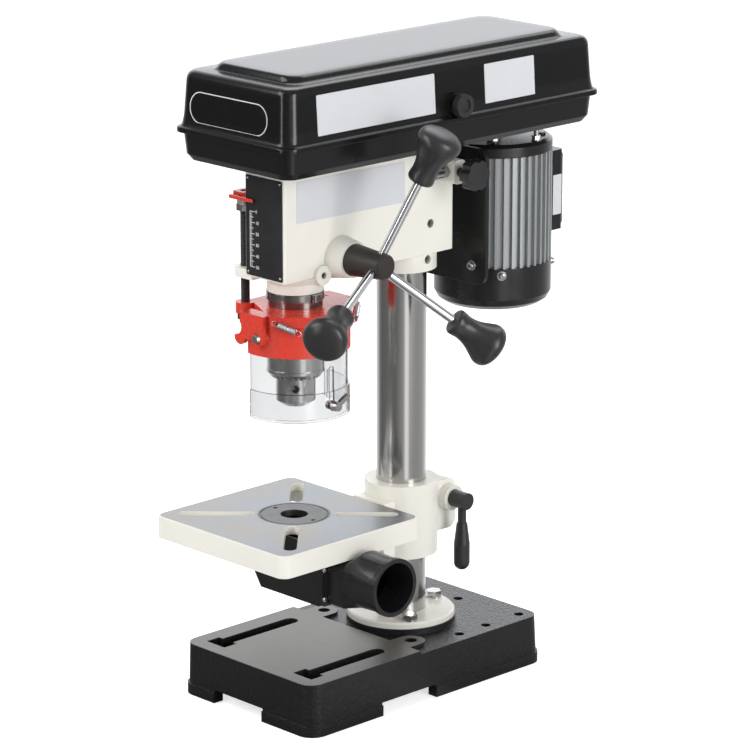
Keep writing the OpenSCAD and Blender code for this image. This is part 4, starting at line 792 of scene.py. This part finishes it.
class DRILLPRESS_OT_lid(bpy.types.Operator):
    """Pressed lid of the belt cover, with its hinge knuckles and the boss of its knob"""
    bl_idname = "drillpress.lid"
    bl_label = "Belt cover lid"

    def execute(self, context):
        shoulder = context.scene.drill_press_sizes.lid_shoulder / MM
        (_, front, _), (half, back, _) = solid_box("belt_lid")
        hinge, knob = PIVOT["lid_hinge"], PIVOT["lid_knob_turn"]
        rim_rise, leaf = 0.15, 10.0
        rim = hinge[2] + rim_rise
        # Inset from the sides, inset from the ends, corner radius and height above the rim, from inside to outside
        steps = np.array([
            (27.4, 31.4, 15, 58.6), (22.4, 28.9, 15, 52.1), (16.4, 16.4, 11, 52.1), (9.4, 9.4, 11, 46.5),
            (6.4, 6.4, 12, 0), (0, 0, 14, 0), (0, 0, 14, 4.5), (3.4, 3.4, 13, 5.7), (4.9, 4.9, 13, 14.5),
            (7.5, 7.5, 12, 54.5), (20.0, 26.5, 16, 54.5), (25.0, 29.0, 16, 61.0), (38.0, 42.0, 6, 61.0)])
        bends = [1.5, 1.5, 1.0, 0.4, 0.6, 1.5, 3.5, 4.0, shoulder, 3.0, 4.0]
        inset_x, inset_y, corner, height = softened(steps, bends, 8).T
        outline = rounded_outline(inset_x - half, half - inset_x, inset_y + front, back - inset_y, corner, 16)
        first_pin, last_pin = solid_box("lid_hinge_pins")[:, 1]
        half_pin, long, bore, reach, edge = 15.0, 13.7, 2.05, 4.0, 0.4
        ends = [(hinge[0], y, hinge[2]) for y in (first_pin + half_pin, last_pin - half_pin)]
        knuckle = turned([bore, reach - edge, reach, reach, reach - edge, bore],
                         [0.0, 0.0, edge, long - edge, long, long])
        leaves = [bar(hinge[0], hinge[0] + leaf, y, y + long, rim, rim + reach) for _, y, _ in ends]
        boss_high = 10.0
        boss = turned([3.05, 9.6, 9.6, 9.0, 8.6, 3.05], [0.0, 0.0, 4.0, 9.6, boss_high, boss_high], 40)
        shell = joined([
            skin(raised(outline, rim + height)), set_at(skin(knuckle, wrap=True), ends, Y), *leaves,
            set_at(skin(boss, wrap=True), knob - boss_high * X, X)])
        settle("lid_shell", shell, "cover_gloss", "lid", "cover_black", "belt_lid")
        return {"FINISHED"}


class DRILLPRESS_OT_knobs(bpy.types.Operator):
    """Flared knobs of the three feed levers, each with a collar, a waist and a domed end"""
    bl_idname = "drillpress.knobs"
    bl_label = "Lever knobs"

    def execute(self, context):
        wide = context.scene.drill_press_sizes.knob_radius / MM
        length, reach, lever_x = 51.0, 127.0, 74.0
        first_turn, splay = np.radians((12.0, 24.0))
        # Share of the wide radius and share of the length, from the lever to the domed end
        share, rise = eased([
            (0.02, 0.0), (0.46, 0.0), (0.57, 0.02), (0.60, 0.06), (0.59, 0.12), (0.565, 0.19), (0.57, 0.27),
            (0.61, 0.37), (0.70, 0.48), (0.83, 0.59), (0.94, 0.68), (0.99, 0.74), (1.0, 0.785), (0.98, 0.84),
            (0.90, 0.90), (0.73, 0.95), (0.48, 0.985), (0.2, 0.998), (0.02, 1.0)], 4).T
        knob = skin(turned(share * wide, rise * length, 56))
        turns = first_turn + FULL_TURN / 3.0 * np.arange(3)
        lines = np.stack([np.full(3, np.sin(splay)), np.cos(splay) * np.sin(turns), np.cos(splay) * np.cos(turns)], 1)
        hub = np.array([lever_x, *PIVOT["feed_turn"][1:]])
        start = reach / np.cos(splay) - length
        settle("lever_knobs", joined([set_at(knob, hub + start * line, line) for line in lines]),
               "knob_black", "feed", "black_plastic", "feed_knobs")
        return {"FINISHED"}


class DRILLPRESS_OT_plates(bpy.types.Operator):
    """Bare plates on the head and the lid, and the plain rim of the oval place on the lid's front"""
    bl_idname = "drillpress.plates"
    bl_label = "Bare plates"

    def execute(self, context):
        thick = context.scene.drill_press_sizes.plate_thickness / MM
        corner = 1.2
        # The head's right side is the plane at this distance from the column's axis
        side, side_reach, y = np.array([0.99924, -0.0389, 0.0]), 32.287, -90.6
        head = set_at(film_plate(127.5, 37.5, corner, thick), [(side_reach - side[1] * y) / side[0], y, 471.2], side)
        settle("head_plate", head, "plate_film", "stand", "plate_white")
        # The lid's walls lean inwards by this slope from its foot
        slope, (foot_x, foot_y, foot_z) = 3.2 / 49.5, (71.2, -205.7, 533.5)
        level = 555.4
        x = foot_x - slope * (level - foot_z)
        pair = [set_at(film_plate(width, 38.6, corner, thick), [x, along, level], [1.0, 0.0, slope])
                for width, along in ((142.0, -99.0), (64.0, 66.7))]
        settle("lid_plates", joined(pair), "plate_film", "lid", "plate_white")
        level = 552.8
        oval = set_at(rim_band(100.0, 28.0, 13.9, 0.9, thick), [-5.0, foot_y + slope * (level - foot_z), level],
                      [0.0, -1.0, slope])
        settle("lid_oval", oval, "plate_film", "lid", "plate_white")
        return {"FINISHED"}


class DRILLPRESS_OT_scale(bpy.types.Operator):
    """Ticks, numbers and rivets of the depth scale"""
    bl_idname = "drillpress.scale"
    bl_label = "Depth scale"

    def execute(self, context):
        sizes = context.scene.drill_press_sizes
        (_, face, low), (half, _, high) = solid_box("scale_plate")
        travel, top_margin, number_gap, rivet_inset_x, rivet_inset_z = 50, 32.0, 7.0, 2.6, 2.7
        zero = np.array([0.0, face, high - top_margin])
        edge, below, above = -17.6, -0.2, 0.12
        depth = np.arange(travel + 1)
        long = sizes.tick_long / MM
        reach = np.where(depth % 10 == 0, long, np.where(depth % 5 == 0, long * 0.7, long * 0.42))
        wide = np.where(depth % 5 == 0, 0.5, 0.28)
        marks = [set_at(bar(edge, edge + r, -w / 2, w / 2, below, above), zero - d * Z, -Y)
                 for d, r, w in zip(depth, reach, wide)]
        marks.append(set_at(bar(edge - 0.4, edge + 0.1, -travel - 0.3, 0.3, below, above), zero, -Y))
        for value in depth[::10]:
            words = bpy.data.curves.new("scale_number", "FONT")
            words.body = str(value)
            words.size = sizes.number_height / MM
            words.align_x = "LEFT"
            words.align_y = "CENTER"
            words.extrude = above
            carrier = bpy.data.objects.new("scale_number", words)
            mesh = bpy.data.meshes.new_from_object(carrier)
            places = np.empty(len(mesh.vertices) * 3)
            mesh.vertices.foreach_get("co", places)
            faces = [list(p.vertices) for p in mesh.polygons]
            marks.append(set_at((places.reshape(-1, 3) + (edge + number_gap) * X, faces), zero - value * Z, -Y))
            bpy.data.objects.remove(carrier)
            bpy.data.curves.remove(words)
            bpy.data.meshes.remove(mesh)
        settle("scale_marks", joined(marks), "scale_print", "stand", "plate_white")
        corners = [(a * (half - rivet_inset_x), face, z)
                   for a in (-1, 1) for z in (low + rivet_inset_z, high - rivet_inset_z)]
        settle("scale_rivets", set_at(rivet(1.5, 0.9), corners, -Y), "plain_steel", "stand", "steel")
        return {"FINISHED"}


class DRILLPRESS_OT_head_screws(bpy.types.Operator):
    """Set screws of the head, the nut of the return spring and the screws of the switch"""
    bl_idname = "drillpress.head_screws"
    bl_label = "Head fasteners"

    def execute(self, context):
        under = solid_box("head_casting")[0, 2]
        grub = [set_at(socket_screw(radius, 4.0, 2.6), (x, y, under + rise), X) for radius, x, y, rise in (
            (3.7, 25.0, 2.0, 11.0), (3.7, 26.5, 5.0, 44.0), (2.7, 25.5, -126.0, 18.0))]
        settle("set_screws", joined(grub), "hard_steel", "stand", "steel")
        housing = solid_box("spring_housing")[0, 0]
        nut = set_at(hex_bolt(15.0, 5.0, 1.2), (housing, *PIVOT["feed_turn"][1:]), -X)
        settle("spring_nut", nut, "plain_steel", "feed", "steel")
        face = solid_box("switch_box")[0, 0]
        _, y, z = PIVOT["switch_rock"]
        corners = [(face, y + a * 21.0, z + b * 16.0) for a in (-1, 1) for b in (-1, 1)]
        screws = set_at(pan_screw(2.4, 1.4), corners, -X)
        settle("switch_screws", screws, "plain_steel", "stand", "steel")
        return {"FINISHED"}


class DRILLPRESS_OT_guard_springs(bpy.types.Operator):
    """Two close-wound springs of the guard, each with a hook at both ends"""
    bl_idname = "drillpress.guard_springs"
    bl_label = "Guard springs"

    def execute(self, context):
        middle = np.array([0.0, PIVOT["guard_tilt"][1], solid_box("guard_plate")[1, 2]])
        # The front spring's hook on the quill, its hook on the guard and its way outward; the rear one mirrors it
        upper, lower, outward = np.array([(27.3, -50.6, -4.0), (40.6, -33.8, -14.0), (0.725, -0.687, 0.0)])
        radius, wire = 2.7, 0.5
        for name, side in (("front", 1.0), ("rear", -1.0)):
            mirror = np.array([1.0, side, 1.0])
            start, end = middle + upper * mirror, middle + lower * mirror
            coil = painted("guard_coil_" + name, coil_spring(start, end, outward * mirror, radius, wire),
                           "spring_steel", "steel", "guard_spring_" + name)
            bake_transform(coil)
        return {"FINISHED"}


class DRILLPRESS_OT_motor_fittings(bpy.types.Operator):
    """Bolts of the motor plate and caps, the cover of the junction box with its screws, and a bare plate beside it"""
    bl_idname = "drillpress.motor_fittings"
    bl_label = "Motor fittings"

    def execute(self, context):
        small = context.scene.drill_press_sizes.screw_radius / MM
        x, y, _ = PIVOT["motor_spin"]
        rod_z = PIVOT["slide_lock_right_turn"][2]
        cap_top, case_foot = solid_box("motor_top_cap")[1, 2], solid_box("motor_case")[0, 2]
        front, back = solid_box("motor_plate")[:, 1]
        boss_reach, cap_reach, plate_half, rod_half = 44.0, 54.4, 34.0, 40.0
        cap_row, plate_row = case_foot - 6.0, case_foot + 7.5
        bosses = [x, y, cap_top] + boss_reach * level_ways([135.0, 225.0, 315.0])
        cap_screws = [set_at(washer_screw(4.4), [x, y, cap_row] + cap_reach * way, way)
                      for way in level_ways([-37.0, 143.0, 53.0, 233.0])]
        stud = joined([hex_bolt(7.5, 4.0, 1.0), skin(turned([2.4, 2.4, 1.9], [4.5, 10.0, 10.6], 24))])
        bolts = joined([
            set_at(hex_bolt(6.4, 3.0, 0.6), bosses, Z), set_at(stud, [x + 46.5, y + 8.0, cap_top - 2.4], Z),
            set_at(washer_screw(4.8), [(x + a * plate_half, front, plate_row) for a in (-1, 1)], -Y),
            set_at(hex_bolt(12.6, 5.0, 1.0), [(x + a * rod_half, back, rod_z) for a in (-1, 1)], Y), *cap_screws])
        settle("motor_bolts", bolts, "plain_steel", "motor", "steel")
        (_, _, low), (side, face, high) = solid_box("junction_box")
        middle, thick = (low + high) / 2.0, 1.2
        cover = set_at(film_plate(47.0, 71.0, 4.0, thick), [x, face, middle], Y)
        settle("junction_cover", cover, "motor_black", "motor", "black_metal")
        rating = set_at(film_plate(11.5, 38.0, 0.8, 0.3), [side, face - 9.0, middle - 4.5], X)
        settle("rating_plate", rating, "plate_film", "motor", "plate_white")
        corners = [(x + a * 19.5, face + thick - 0.1, middle + b * 31.0) for a in (-1, 1) for b in (-1, 1)]
        settle("junction_screws", set_at(pan_screw(small, 1.8), corners, Y), "plain_steel", "motor", "steel")
        return {"FINISHED"}


class DRILLPRESS_OT_table_fittings(bpy.types.Operator):
    """Screws of the dust port"""
    bl_idname = "drillpress.table_fittings"
    bl_label = "Table fittings"

    def execute(self, context):
        small = context.scene.drill_press_sizes.screw_radius / MM
        (flange, front, low), (_, back, _) = solid_box("dust_port")
        plate, inset, rows = 4.0, 3.0, (8.0, 35.0)
        places = [(flange + plate, y, low + row) for y in (front + inset, back - inset) for row in rows]
        settle("port_screws", set_at(pan_screw(small * 0.85, 1.8), places, X), "plain_steel", "table", "steel")
        return {"FINISHED"}


class DRILLPRESS_OT_stage(bpy.types.Operator):
    """White floor, soft lamps and the camera"""
    bl_idname = "drillpress.stage"
    bl_label = "Stage"

    def execute(self, context):
        scene = context.scene
        stage = scene.drill_press_stage
        scene.view_settings.view_transform = "Standard"
        self.floor(scene)
        # Each flat soft lamp: its name, its place, its aim, its width and its height, in metres
        for name, place, aim, wide, tall in (
                ("key", (-0.9, -1.9, 1.9), (0.0, -0.05, 0.35), 1.5, 1.5),
                ("fill", (2.5, 0.1, 0.95), (0.0, 0.0, 0.5), 1.0, 1.7),
                ("strip", (-0.15, -2.3, 0.75), (0.0, 0.0, 0.5), 0.25, 1.4),
                ("top", (-0.5, 1.2, 2.4), (0.0, 0.0, 0.4), 2.2, 1.4)):
            light = bpy.data.lights.new(name + "_lamp", "AREA")
            light.shape = "RECTANGLE"
            light.size = wide
            light.size_y = tall
            light.energy = getattr(stage, name + "_power")
            self.stand(scene, light, place, aim)
        self.room(scene, stage.sky)
        camera = bpy.data.cameras.new("camera")
        camera.lens = stage.lens
        camera.sensor_width = 36.0
        camera.clip_end = 50.0
        scene.camera = self.stand(scene, camera, stage.eye, stage.aim)
        return {"FINISHED"}

    @staticmethod
    def stand(scene, thing, place, aim):
        """A lamp or camera at a place, looking along its own -Z at the aim."""
        holder = bpy.data.objects.new(thing.name, thing)
        scene.collection.objects.link(holder)
        holder.location = place
        holder.rotation_euler = (Vector(aim) - Vector(place)).to_track_quat("-Z", "Y").to_euler()
        return holder

    @staticmethod
    def floor(scene):
        """A wide pale disc just under the feet, two rings and a cap, which lights itself a little for the camera; to
        shiny faces its colour is the studio's painted light.
        """
        reach, middle, drop, points = 9.0, 0.01, 0.0003, 96
        finish = Finish("floor_white", Roughness=0.9, Specular_IOR_Level=0.1, Emission_Strength=1.0)
        shiny, seen = light_paths(finish)
        paper = finish.tinted((0.78, 0.78, 0.78), finish.grain(400.0), 0.01)
        # To rays from shiny faces the floor's colour is the studio's light: a painted reflection of a bright strip, a
        # white part behind and dim sides
        finish.feed(
            Base_Color=finish.blend(shiny, paper, studio_round(finish, finish.place)),
            Emission_Color=finish.blend(seen, (0.0, 0.0, 0.0), (0.66, 0.66, 0.66)))
        places, faces = skin(turned([reach, middle], [-drop, -drop], points), caps=False)
        mesh = bpy.data.meshes.new("floor")
        mesh.from_pydata(places.tolist(), [], faces + [list(range(points, 2 * points))])
        mesh.materials.append(finish.material)
        ground = bpy.data.objects.new("floor", mesh)
        scene.collection.objects.link(ground)

    @staticmethod
    def room(scene, strength):
        """Even light from all round; the camera and clear pieces see white, and a shiny face sees a studio: the white
        wall behind, lit more on the left, a strip lamp beside the camera, a pale ceiling and dim sides."""
        world = bpy.data.worlds.new("room")
        world.use_nodes = True
        scene.world = world
        nodes = NodeTree(world.node_tree)
        toward = nodes.node("TexCoord", out="Generated")
        height = nodes.axis("Z", toward)
        wall = nodes.between(nodes.dot(toward, (-0.68, 0.66, 0.31)), 0.62, 0.94)
        ceiling = nodes.between(height, 0.25, 0.95)
        sides = studio_round(nodes, toward) * nodes.between(height, 0.2, 0.7, 1.05, 0.25)
        level = sides + wall * 0.8 + ceiling * 0.35
        even = nodes.node("Background", {"Strength": strength})
        shine = nodes.node("Background", {"Color": (0.95, 0.97, 1.0), "Strength": level})
        white = nodes.node("Background", {"Color": (1.0, 1.0, 1.0)})
        shiny, seen = light_paths(nodes)
        lit = nodes.node("MixShader", {0: shiny, 1: even, 2: shine})
        nodes.node("OutputWorld", {
            "Surface": nodes.node("MixShader", {0: seen, 1: lit, 2: white})}, None)


PIECES = (
    DRILLPRESS_OT_finishes, DRILLPRESS_OT_lid, DRILLPRESS_OT_knobs, DRILLPRESS_OT_plates, DRILLPRESS_OT_scale,
    DRILLPRESS_OT_head_screws, DRILLPRESS_OT_guard_springs, DRILLPRESS_OT_motor_fittings,
    DRILLPRESS_OT_table_fittings, DRILLPRESS_OT_stage,
)


GROUPS = {
    "drill_press_colours": DrillPressColours,
    "drill_press_sizes": DrillPressSizes,
    "drill_press_stage": DrillPressStage,
}


class DRILLPRESS_PT_panel(bpy.types.Panel):
    """Buttons and settings of the drill press"""
    bl_idname = "DRILLPRESS_PT_panel"
    bl_label = "Drill press"
    bl_space_type = "VIEW_3D"
    bl_region_type = "UI"
    bl_category = "Drill press"

    def draw(self, context):
        for piece in PIECES:
            self.layout.operator(piece.bl_idname)
        for name, group in GROUPS.items():
            box = self.layout.box()
            for setting in group.__annotations__:
                box.prop(getattr(context.scene, name), setting)


def register():
    """Makes the settings, operators and panel known to Blender."""
    for name, group in GROUPS.items():
        bpy.utils.register_class(group)
        setattr(bpy.types.Scene, name, bpy.props.PointerProperty(type=group))
    for kind in (*PIECES, DRILLPRESS_PT_panel):
        bpy.utils.register_class(kind)


def unregister():
    """Takes them back out."""
    for kind in (DRILLPRESS_PT_panel, *reversed(PIECES)):
        bpy.utils.unregister_class(kind)
    for name, group in GROUPS.items():
        delattr(bpy.types.Scene, name)
        bpy.utils.unregister_class(group)


def main():
    """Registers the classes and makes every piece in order."""
    register()
    bpy.ops.drillpress.finishes()
    bpy.ops.drillpress.lid()
    bpy.ops.drillpress.knobs()
    bpy.ops.drillpress.plates()
    bpy.ops.drillpress.scale()
    bpy.ops.drillpress.head_screws()
    bpy.ops.drillpress.guard_springs()
    bpy.ops.drillpress.motor_fittings()
    bpy.ops.drillpress.table_fittings()
    bpy.ops.drillpress.stage()


if __name__ == "__main__":
    main()
